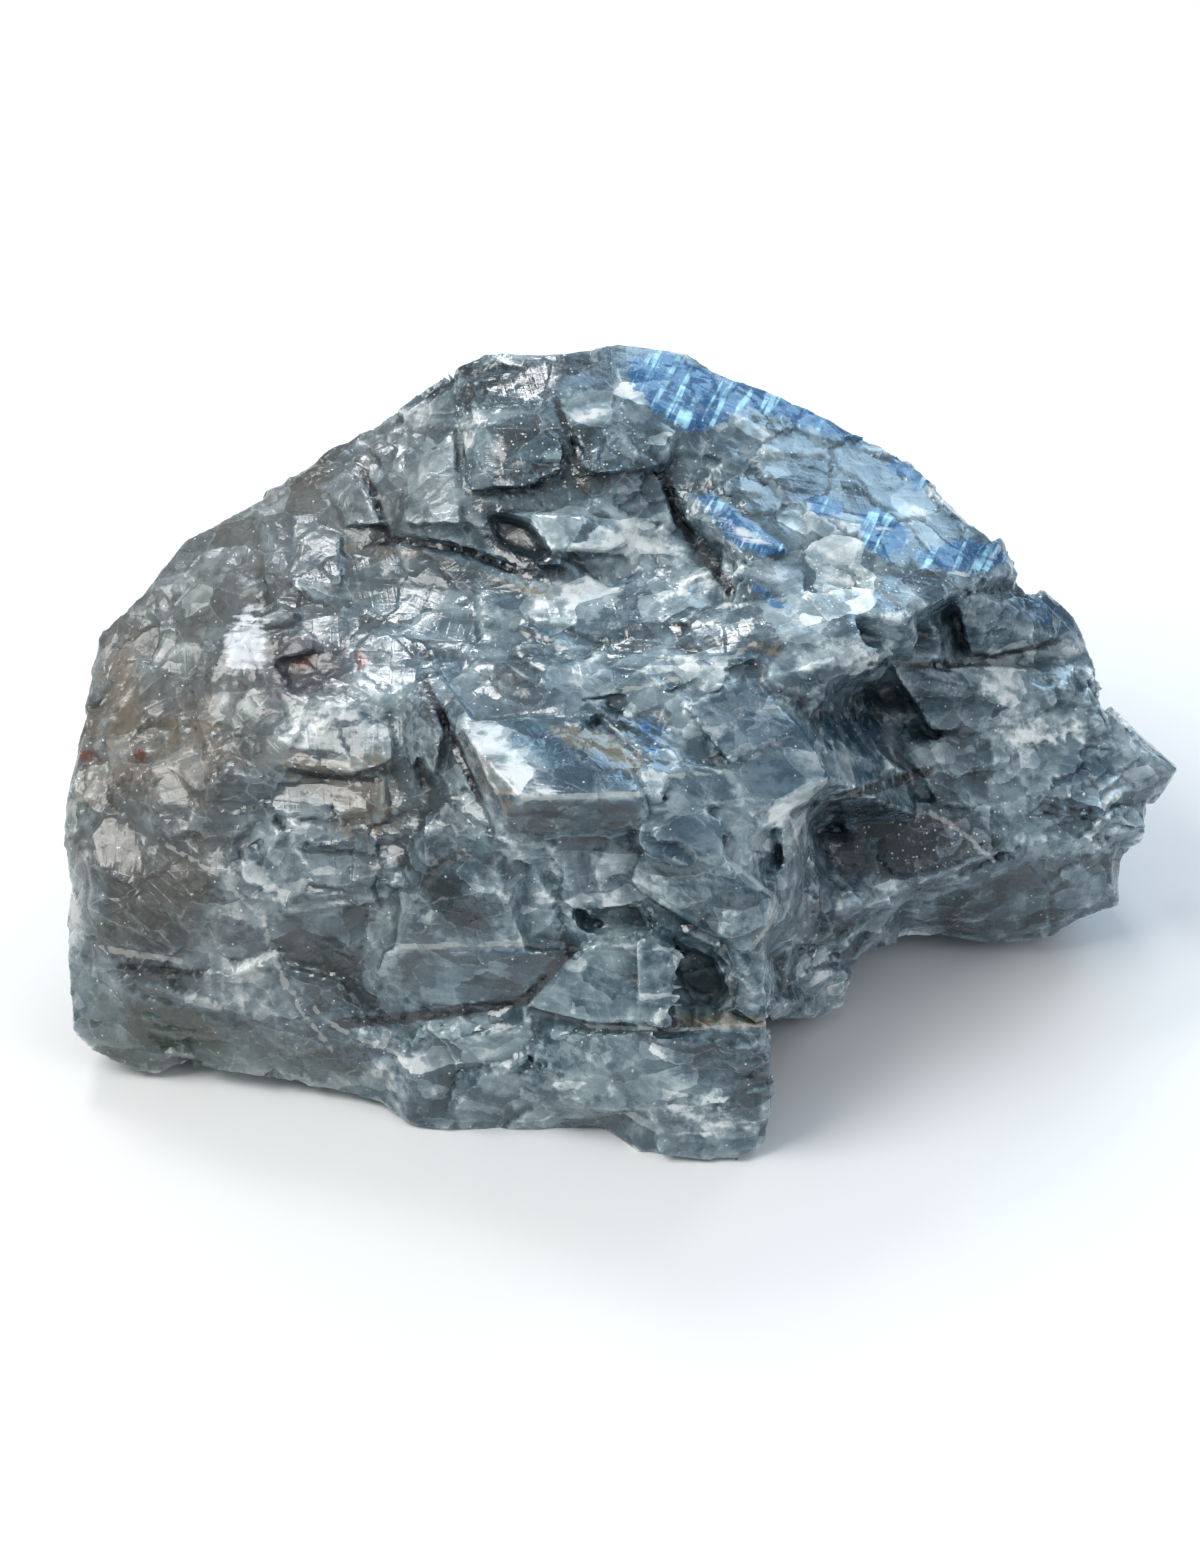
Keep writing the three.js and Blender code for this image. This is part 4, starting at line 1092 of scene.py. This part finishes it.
@dataclass(frozen=True)
class CalciteFinish:
    """Massive calcite, cleaved and weathered: clear slate-blue depth, milky veils, gloss on fresh faces, with
    painted shade, a painted blue sheen and painted glints.

    Args:
        deep: the colour of clear facets that light goes far into, and the low end of the painted shade in
            hollows, creases and faces turned from the light.
        slate: the colour of most of the stone.
        pale: the colour of milky facets.
        white: the colour of crushed edges and veils.
        ior: calcite's mean refractive index is about 1.6.
        veil_mm: the size of the cloudy veils inside the stone.
        fine_mm: the size of the fine mottling.
        flake_mm: the size of the large cleavage flakes.
        chip_mm: the size of the small flakes.
        bend_mm: over what length the flakes' borders bend.
        bend_reach_mm: how far they bend.
        striation_mm: the spacing of the fine steps along each of the three cleavage directions. Real ones
            are mostly finer and wouldn't show, so these are drawn coarser.
        brush_mm: the width of the streaks on unbroken faces.
        hatch_mm: the spacing of the bright lines in the painted blue sheen.
        hatch_break_mm: the spacing of the weaker lines that cross them.
        glint_speck_mm: the spacing of the places where a painted glint, a bright white speck, can be.
        relief_mm: the height of the finest relief.
        scatter_mm: how far light spreads under the surface.
        flake_tilt: how far flakes tilt from the surface, so that they glint apart.
        border_noise: for each zone that the noise breaks up, how much.
    """

    deep: str = "25373f"
    slate: str = "566d79"
    pale: str = "9aacb3"
    white: str = "e8eeee"
    ior: float = 1.6
    veil_mm: float = 4.54545
    fine_mm: float = 0.90909
    flake_mm: float = 4.0
    chip_mm: float = 1.72414
    bend_mm: float = 2.0
    bend_reach_mm: float = 1.2
    striation_mm: tuple[float, float, float] = (0.588235, 0.476190, 0.384615)
    brush_mm: float = 0.625
    hatch_mm: float = 0.869565
    hatch_break_mm: float = 0.769231
    glint_speck_mm: float = 0.384615
    relief_mm: float = 0.25
    scatter_mm: float = 1.3
    flake_tilt: float = 0.30
    border_noise: tuple[tuple[Zone, float], ...] = (
        (Zone.MILKY, 1.6), (Zone.DEEP_AND_SHADE, 1.6), (Zone.PAINTED_SHEEN, 2.2), (Zone.BLUE, 1.6), (Zone.WARM, 1.6),
        (Zone.GREEN, 1.6), (Zone.DUSKY, 3.0), (Zone.DIRT, 2.4), (Zone.RUST, 1.4), (Zone.DARK, 0.8),
        (Zone.PAINTED_GLINT, 1.6),
    )

    def material(self) -> bpy.types.Material:
        """Builds the node tree.

        The tone runs from clear and dark to crushed and white, with painted shade in hollows, creases and
        faces turned from the light, and a ramp turns it into colour. Stains, veins, painted shadows in
        cracks, a painted blue sheen and painted glints lie over that. Light scattered below a hard coat gives
        the half translucent, glassy look.

        Returns:
            The material.
        """
        material, s = new_material("massive calcite, cleaved and weathered")
        place = s.add("TexCoord", {}, out="Object")
        mm = s.add("VectorMath", {"Vector": place, "Scale": 1 / MM}, operation="SCALE")
        names = ["tone_0", "tone_1", "tone_2", "ridge", "hollow", "crease", "worn"]
        names += [kind.value for kind in Zone]
        amount = {name: s.add("Attribute", {}, out="Fac", attribute_name=name) for name in names}
        sight, cleavage = (
            s.add("Attribute", {}, out="Vector", attribute_name=name) for name in ("sight", "cleavage")
        )
        veil = s.add(
            "TexNoise",
            {"Vector": mm, "Scale": 1 / self.veil_mm, "Detail": 7.0, "Roughness": 0.62, "Distortion": 0.8},
            out="Fac",
        )
        fine = s.add(
            "TexNoise", {"Vector": mm, "Scale": 1 / self.fine_mm, "Detail": 5.0, "Roughness": 0.6}, out="Fac"
        )
        flat = s.add("Mapping", {"Vector": mm, "Rotation": (0.5, 0.35, 0.3), "Scale": (0.8, 1.0, 1.5)})
        bend = s.add("TexNoise", {"Vector": mm, "Scale": 1 / self.bend_mm, "Detail": 5.0}, out="Color")
        flake_place = s.add(
            "VectorMath", {0: bend, 1: (self.bend_reach_mm,) * 3, 2: flat}, operation="MULTIPLY_ADD"
        )
        flakes, chips = (
            s.add("TexVoronoi", {"Vector": flake_place, "Scale": 1 / size}, out="Color")
            for size in (self.flake_mm, self.chip_mm)
        )
        hairline = s.add(
            "TexVoronoi", {"Vector": flake_place, "Scale": 1 / self.flake_mm},
            out="Distance", feature="DISTANCE_TO_EDGE",
        )
        flake_tone, flake_pick, _ = s.add("SeparateColor", {0: flakes}).node.outputs
        chip_tone = s.add("SeparateColor", {0: chips})
        striation = 0.0
        for axis, size in zip(s.add("SeparateXYZ", {0: cleavage}).node.outputs, self.striation_mm):
            pattern = {"W": axis, "Scale": 1 / size, "Detail": 2.0}
            line = s.add("TexNoise", pattern, out="Fac", noise_dimensions="1D")
            striation = s.add("Math", {0: line, 1: striation}, operation="MAXIMUM")
        streaks = self._streaks(s, sight, -6, 9.0, self.brush_mm, 4.0)
        # White specks painted as glints
        glint_speck_near = s.add("TexVoronoi", {"Vector": mm, "Scale": 1 / self.glint_speck_mm}, out="Distance")
        glint_speck_pick = s.add("SeparateColor", {0: glint_speck_near.node.outputs["Color"]}, out=1)
        uneven = s.add("Math", {0: fine, 1: 0.5}, operation="SUBTRACT")
        streaked = s.add("Math", {0: streaks, 1: 0.5}, operation="SUBTRACT")
        zone = {kind: self._zone(s, amount[kind.value], uneven, noise) for kind, noise in self.border_noise}

        chalk_sum = s.add("Math", {0: streaked, 1: 2.2, 2: amount["chalk"]}, operation="MULTIPLY_ADD")
        sums = {
            "chalk": s.add("Math", {0: uneven, 1: 1.8, 2: chalk_sum}, operation="MULTIPLY_ADD"),
            "vein": s.add("Math", {0: uneven, 1: 0.8, 2: amount["vein"]}, operation="MULTIPLY_ADD"),
            "dot": s.add("Math", {0: zone[Zone.PAINTED_GLINT], 1: 0.2, 2: glint_speck_pick}, operation="MULTIPLY_ADD"),
        }
        # Each row is a name, a value, the part of it that counts and what that part becomes
        soft = {
            name: s.add("MapRange", dict(enumerate(row)), interpolation_type="SMOOTHSTEP")
            for name, *row in (
                ("veil", veil, 0.36, 0.66), ("mottling", fine, 0.35, 0.7),
                ("ridge", fine, 0.35, 0.6, 0.4, 1.0),
                ("pale flake", flake_pick, 0.86, 0.865), ("pale chip", chip_tone, 0.93, 0.935),
                ("steps", striation, 0.6, 0.75), ("whole", amount["whole"], 0.4, 0.6),
                ("chalk", sums["chalk"], 0.35, 1.15), ("chalk place", amount["chalk"], 0.0, 0.5),
                ("vein", sums["vein"], 0.42, 0.58), ("vein place", amount["vein"], 0.02, 0.2),
                ("hairline", hairline, 0.035, 0.0), ("hairline place", fine, 0.46, 0.58),
                ("dot", glint_speck_near, 0.34, 0.2), ("painted glint place", sums["dot"], 0.965, 0.975),
                ("roughness", fine, 0.3, 0.7, 0.14, 0.36),
            )
        }
        hatch = self._hatch(s, sight)
        both = {
            name: s.add("Math", {0: first, 1: second}, operation="MULTIPLY")
            for name, first, second in (
                ("ridge", amount["ridge"], soft["ridge"]), ("brushing", streaked, soft["whole"]),
                ("chalk", soft["chalk"], soft["chalk place"]), ("vein", soft["vein"], soft["vein place"]),
                ("hairline", soft["hairline"], soft["hairline place"]),
                ("dot", soft["dot"], soft["painted glint place"]), ("hatch", zone[Zone.PAINTED_SHEEN], hatch),
            )
        }

        # The hollow and crease terms darken the tone as painted shade in hollows, cracks and folds
        tone = -0.14
        for part, weight in (
            (amount["tone_0"], 0.28), (amount["tone_1"], 0.22), (amount["tone_2"], 0.08), (flake_tone, 0.34),
            (chip_tone, 0.12), (soft["pale flake"], 0.22), (soft["pale chip"], 0.14), (soft["veil"], 0.16),
            (soft["mottling"], 0.04), (soft["steps"], 0.05), (both["ridge"], 0.27), (amount["hollow"], -0.36),
            (amount["crease"], -0.08), (amount["worn"], -0.10), (both["brushing"], 0.24),
            (zone[Zone.MILKY], 0.24), (zone[Zone.DEEP_AND_SHADE], -0.34),
        ):
            tone = s.add("Math", {0: part, 1: weight, 2: tone}, operation="MULTIPLY_ADD")
        colour = s.add("ValToRGB", {0: tone})
        stops = colour.node.color_ramp.elements
        stops[0].position, stops[0].color = 0.05, linear(self.deep)
        stops[1].position, stops[1].color = 1.0, linear(self.white)
        for position, stop_colour in ((0.42, self.slate), (0.74, self.pale)):
            stops.new(position).color = linear(stop_colour)
        # Over the ramp, the sheen's blue and its bright lines are a painted reflection, the near-black in
        # cracks is painted shadow and the white specks are painted glints; the other covers are the stone's
        # own stains and veins
        for part, weight, cover in (
            (amount["worn"], 0.55, "75726b"), (zone[Zone.PAINTED_SHEEN], 0.85, "1f6698"),
            (both["hatch"], 1.0, "aee0f2"), (zone[Zone.BLUE], 0.5, "2a5268"),
            (zone[Zone.WARM], 0.5, "8a7a66"), (zone[Zone.GREEN], 0.5, "555c4e"),
            (zone[Zone.DUSKY], 0.6, "4a454e"), (zone[Zone.DIRT], 0.65, "857a5e"),
            (zone[Zone.RUST], 0.85, "6b3320"), (both["chalk"], 0.9, "e2e8ee"),
            (zone[Zone.DARK], 0.85, "22272b"), (both["vein"], 0.5, "c9cbc6"),
            (both["hairline"], 0.28, "c9cfd2"), (both["dot"], 0.75, "eef2f4"),
        ):
            share = s.add("Math", {0: part, 1: weight}, operation="MULTIPLY")
            colour = s.add("Mix", {0: share, 6: colour, 7: linear(cover)}, out=2, data_type="RGBA")

        rough = soft["roughness"]
        for part, weight in ((amount["hollow"], 0.3), (amount["worn"], 0.10), (both["chalk"], 0.25)):
            rough = s.add("Math", {0: part, 1: weight, 2: rough}, operation="MULTIPLY_ADD", use_clamp=True)
        coat = 0.75
        for part, weight in ((amount["worn"], -0.2), (zone[Zone.PAINTED_SHEEN], -0.3)):
            coat = s.add("Math", {0: part, 1: weight, 2: coat}, operation="MULTIPLY_ADD", use_clamp=True)
        steps_height = s.add("Math", {0: striation, 1: 0.5}, operation="MULTIPLY")
        height = s.add("Math", {0: fine, 1: 0.4, 2: steps_height}, operation="MULTIPLY_ADD")
        relief = {
            "Height": height, "Strength": 0.45, "Distance": self.relief_mm * MM,
            "Normal": self._tilted(s, flakes, chips),
        }
        bump = s.add("Bump", relief)
        shader = s.add("BsdfPrincipled", {
            "Base Color": colour, "Roughness": rough, "IOR": self.ior, "Normal": bump,
            "Subsurface Weight": 0.38, "Subsurface Radius": (1.0, 1.1, 1.2),
            "Subsurface Scale": self.scatter_mm * MM,
            "Coat Weight": coat, "Coat Roughness": 0.08, "Coat Normal": bump,
        })
        s.add("OutputMaterial", {"Surface": shader})
        return material

    @staticmethod
    def _zone(
        s: Nodes, amount: bpy.types.NodeSocket, uneven: bpy.types.NodeSocket, noise: float
    ) -> bpy.types.NodeSocket:
        """How much of a zone shows, with a border that noise breaks up.

        Args:
            s: the material's nodes.
            amount: the zone's attribute.
            uneven: noise around 0.
            noise: how much of it goes into the border.

        Returns:
            A share from 0 to 1.
        """
        broken = s.add("Math", {0: uneven, 1: noise, 2: amount}, operation="MULTIPLY_ADD")
        border = s.add("MapRange", {0: broken, 1: 0.25, 2: 0.65}, interpolation_type="SMOOTHSTEP")
        inside = s.add("MapRange", {0: amount, 1: 0.02, 2: 0.2}, interpolation_type="SMOOTHSTEP")
        return s.add("Math", {0: border, 1: inside}, operation="MULTIPLY")

    @staticmethod
    def _streaks(
        s: Nodes, sight: bpy.types.NodeSocket, turn_deg: float, length: float, width_mm: float, detail: float
    ) -> bpy.types.NodeSocket:
        """Long streaks that lie side by side.

        Args:
            s: the material's nodes.
            sight: the (u, v) of each point, in millimetres.
            turn_deg: which way they run.
            length: how many times longer than wide they are.
            width_mm: their width.
            detail: how finely they fray.

        Returns:
            Noise from 0 to 1.
        """
        turn = (0.0, 0.0, math.radians(turn_deg))
        stretch = {"Vector": sight, "Rotation": turn, "Scale": (length, 1.0, 1.0)}
        stretched = s.add("Mapping", stretch, vector_type="TEXTURE")
        pattern = {"Vector": stretched, "Scale": 1 / width_mm, "Detail": detail}
        return s.add("TexNoise", pattern, out="Fac", noise_dimensions="2D")

    def _hatch(self, s: Nodes, sight: bpy.types.NodeSocket) -> bpy.types.NodeSocket:
        """Fine bright lines of the painted blue sheen, crossed and broken by weaker ones.

        Args:
            s: the material's nodes.
            sight: the (u, v) of each point, in millimetres.

        Returns:
            How bright the lines are, from 0 to 1.
        """
        lines = self._streaks(s, sight, 64, 8.0, self.hatch_mm, 2.0)
        breaks = self._streaks(s, sight, -18, 6.0, self.hatch_break_mm, 2.0)
        bright, kept = (
            s.add("MapRange", dict(enumerate(row)), interpolation_type="SMOOTHSTEP")
            for row in ((lines, 0.52, 0.66), (breaks, 0.36, 0.58, 0.25, 1.0))
        )
        return s.add("Math", {0: bright, 1: kept}, operation="MULTIPLY")

    def _tilted(
        self, s: Nodes, flakes: bpy.types.NodeSocket, chips: bpy.types.NodeSocket
    ) -> bpy.types.NodeSocket:
        """The surface normal, tilted a little at random in each flake.

        Args:
            s: the material's nodes.
            flakes: the random colour of each large flake.
            chips: the random colour of each small flake.

        Returns:
            The tilted normal.
        """
        normal = s.add("NewGeometry", {}, out="Normal")
        random = s.add("Mix", {0: 0.5, 6: flakes, 7: chips}, out=2, data_type="RGBA")
        centred = s.add("VectorMath", {0: random, 1: (0.5, 0.5, 0.5)}, operation="SUBTRACT")
        offset = s.add("VectorMath", {"Vector": centred, "Scale": self.flake_tilt}, operation="SCALE")
        total = s.add("VectorMath", {0: normal, 1: offset}, operation="ADD")
        return s.add("VectorMath", {0: total}, operation="NORMALIZE")


@dataclass(frozen=True)
class Lamp:
    """A square soft light that faces the middle of the table.

    Args:
        name: what it stands for.
        place: where it is.
        side: its side.
        watts: its power.
        colour: its colour.
    """

    name: str
    place: tuple[float, float, float]
    side: float
    watts: float
    colour: str

    def build(self) -> None:
        """Makes the light."""
        light = bpy.data.lights.new(self.name, "AREA")
        light.size = self.side
        light.energy = self.watts
        light.color = linear(self.colour)[:3]
        holder = bpy.data.objects.new(self.name, light)
        holder.location = self.place
        holder.rotation_euler = (-Vector(self.place)).to_track_quat("-Z", "Y").to_euler()
        bpy.context.scene.collection.objects.link(holder)


@dataclass
class Studio:
    """The floor, the soft light and the camera.

    Args:
        floor_side: the floor's side.
        lens_mm: the focal length for a 36 mm sensor along the picture's long side.
        lamps: a key lamp above on the left, two behind, the right one bluish, and a weak one on the right.
        sky: the colour of the pale sky around.
        sky_low: the strength of the sky near the floor.
        sky_high: its strength overhead.
        sights: the lines along which the camera looks.
    """

    floor_side: float = 4.0
    lens_mm: float = 76.6
    lamps: tuple[Lamp, ...] = (
        Lamp("key", (-0.45, -0.15, 0.62), 0.40, 2.8, "fffdf8"),
        Lamp("sun", (-0.22, 0.46, 0.62), 0.18, 1.15, "ffffff"),
        Lamp("sky", (0.34, 0.56, 0.50), 0.45, 1.9, "b4d8f4"),
        Lamp("fill", (0.52, -0.34, 0.44), 0.40, 0.70, "f4f6ff"),
    )
    sky: str = "f3f6f9"
    sky_low: float = 0.08
    sky_high: float = 0.55
    sights: SightLines = field(default_factory=SightLines)

    def build(self) -> None:
        """Makes the floor, lights and camera."""
        self._floor()
        for lamp in self.lamps:
            lamp.build()
        self._world()
        self._camera()

    def _floor(self) -> None:
        """A plain pale floor."""
        half = self.floor_side / 2
        corners = [(-half, -half, 0), (half, -half, 0), (half, half, 0), (-half, half, 0)]
        mesh = bpy.data.meshes.new("floor")
        mesh.from_pydata(corners, [], [(0, 1, 2, 3)])
        floor = bpy.data.objects.new("floor", mesh)
        bpy.context.scene.collection.objects.link(floor)
        # Rolled without a coating it has no gloss, so the stone's soft shadow is all that shows on it
        material, s = new_material("pale paper, rolled and uncoated")
        shader = s.add("BsdfPrincipled", {"Base Color": linear("f4f5f6"), "Roughness": 0.9})
        s.add("OutputMaterial", {"Surface": shader})
        mesh.materials.append(material)

    def _world(self) -> None:
        """A pale sky, weak near the floor, and how the picture is developed."""
        world = bpy.data.worlds.new("pale sky")
        world.use_nodes = True
        s = Nodes(world.node_tree)
        height = s.add("SeparateXYZ", {0: s.add("TexCoord", {}, out="Generated")}, out="Z")
        strength = s.add("MapRange", dict(enumerate((height, -0.1, 1.0, self.sky_low, self.sky_high))))
        light = s.add("Background", {"Color": linear(self.sky), "Strength": strength})
        s.add("OutputWorld", {"Surface": light})
        scene = bpy.context.scene
        scene.world = world
        scene.view_settings.view_transform = "Standard"
        scene.view_settings.look = "Medium High Contrast"

    def _camera(self) -> None:
        """A camera where the sight lines meet, looking at the middle of the stone."""
        data = bpy.data.cameras.new("camera")
        data.lens = self.lens_mm
        data.clip_start = 0.01
        camera = bpy.data.objects.new("camera", data)
        target = Vector(self.sights.middle_mm) * MM
        camera.location = Vector(self.sights.eye_mm()) * MM
        camera.rotation_euler = (target - camera.location).to_track_quat("-Z", "Y").to_euler()
        bpy.context.scene.collection.objects.link(camera)
        bpy.context.scene.camera = camera


def stone_grains() -> tuple[Grain, ...]:
    """Places the grains of the stone, each with its own cleavage directions.

    Returns:
        The grains.
    """
    return (
        Grain((-36, -14, 30), (0.9, 0.1, 0.3), (-0.3, -0.4, 0.87)),
        Grain((-12, -4, 40), (1, -0.1, -0.08), (0.05, -0.3, 0.95)),
        Grain((24, 1, 35), (0.95, 0.1, -0.3), (0.3, -0.2, 0.93)),
        Grain((-56, 1, 15), (0.3, 0.9, 0.25), (-0.9, 0.25, 0.3)),
        Grain((48, 1, 12), (-0.2, 0.95, 0.1), (0.95, 0.15, 0.25)),
        Grain((-26, 29, 24), (0.9, 0.35, 0.15), (-0.35, 0.9, 0.2)),
        Grain((14, 33, 24), (0.95, -0.25, -0.2), (0.2, 0.9, 0.35)),
        Grain((-4, -34, 8), (0.97, 0.05, -0.2), (0.1, -0.9, 0.4)),
    )


def main() -> None:
    """Builds the stone and the studio."""
    logging.basicConfig(level=logging.INFO, format="%(message)s")
    stone = BrokenStone(
        grains=stone_grains(),
        passes=(
            FacetPass(8.0, (1.3, 1.0, 0.8), 0.65, 0.3, 0.20, 8, 101),
            FacetPass(4.0, (1.4, 1.0, 0.8), 0.34, 0.5, 0.10, 5, 202),
            FacetPass(1.7, (1.4, 1.0, 0.8), 0.10, 0.5, 0.03, 3, 303),
        ),
    ).build()
    stone.data.materials.clear()
    stone.data.materials.append(CalciteFinish().material())
    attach(stone, "root")
    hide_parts(STONE_NODE)
    stone.data.calc_loop_triangles()
    log.info("calcite_stone: %d triangles", len(stone.data.loop_triangles))
    Studio().build()
    log.info("studio: floor, lights and camera")


if __name__ == "__main__":
    main()
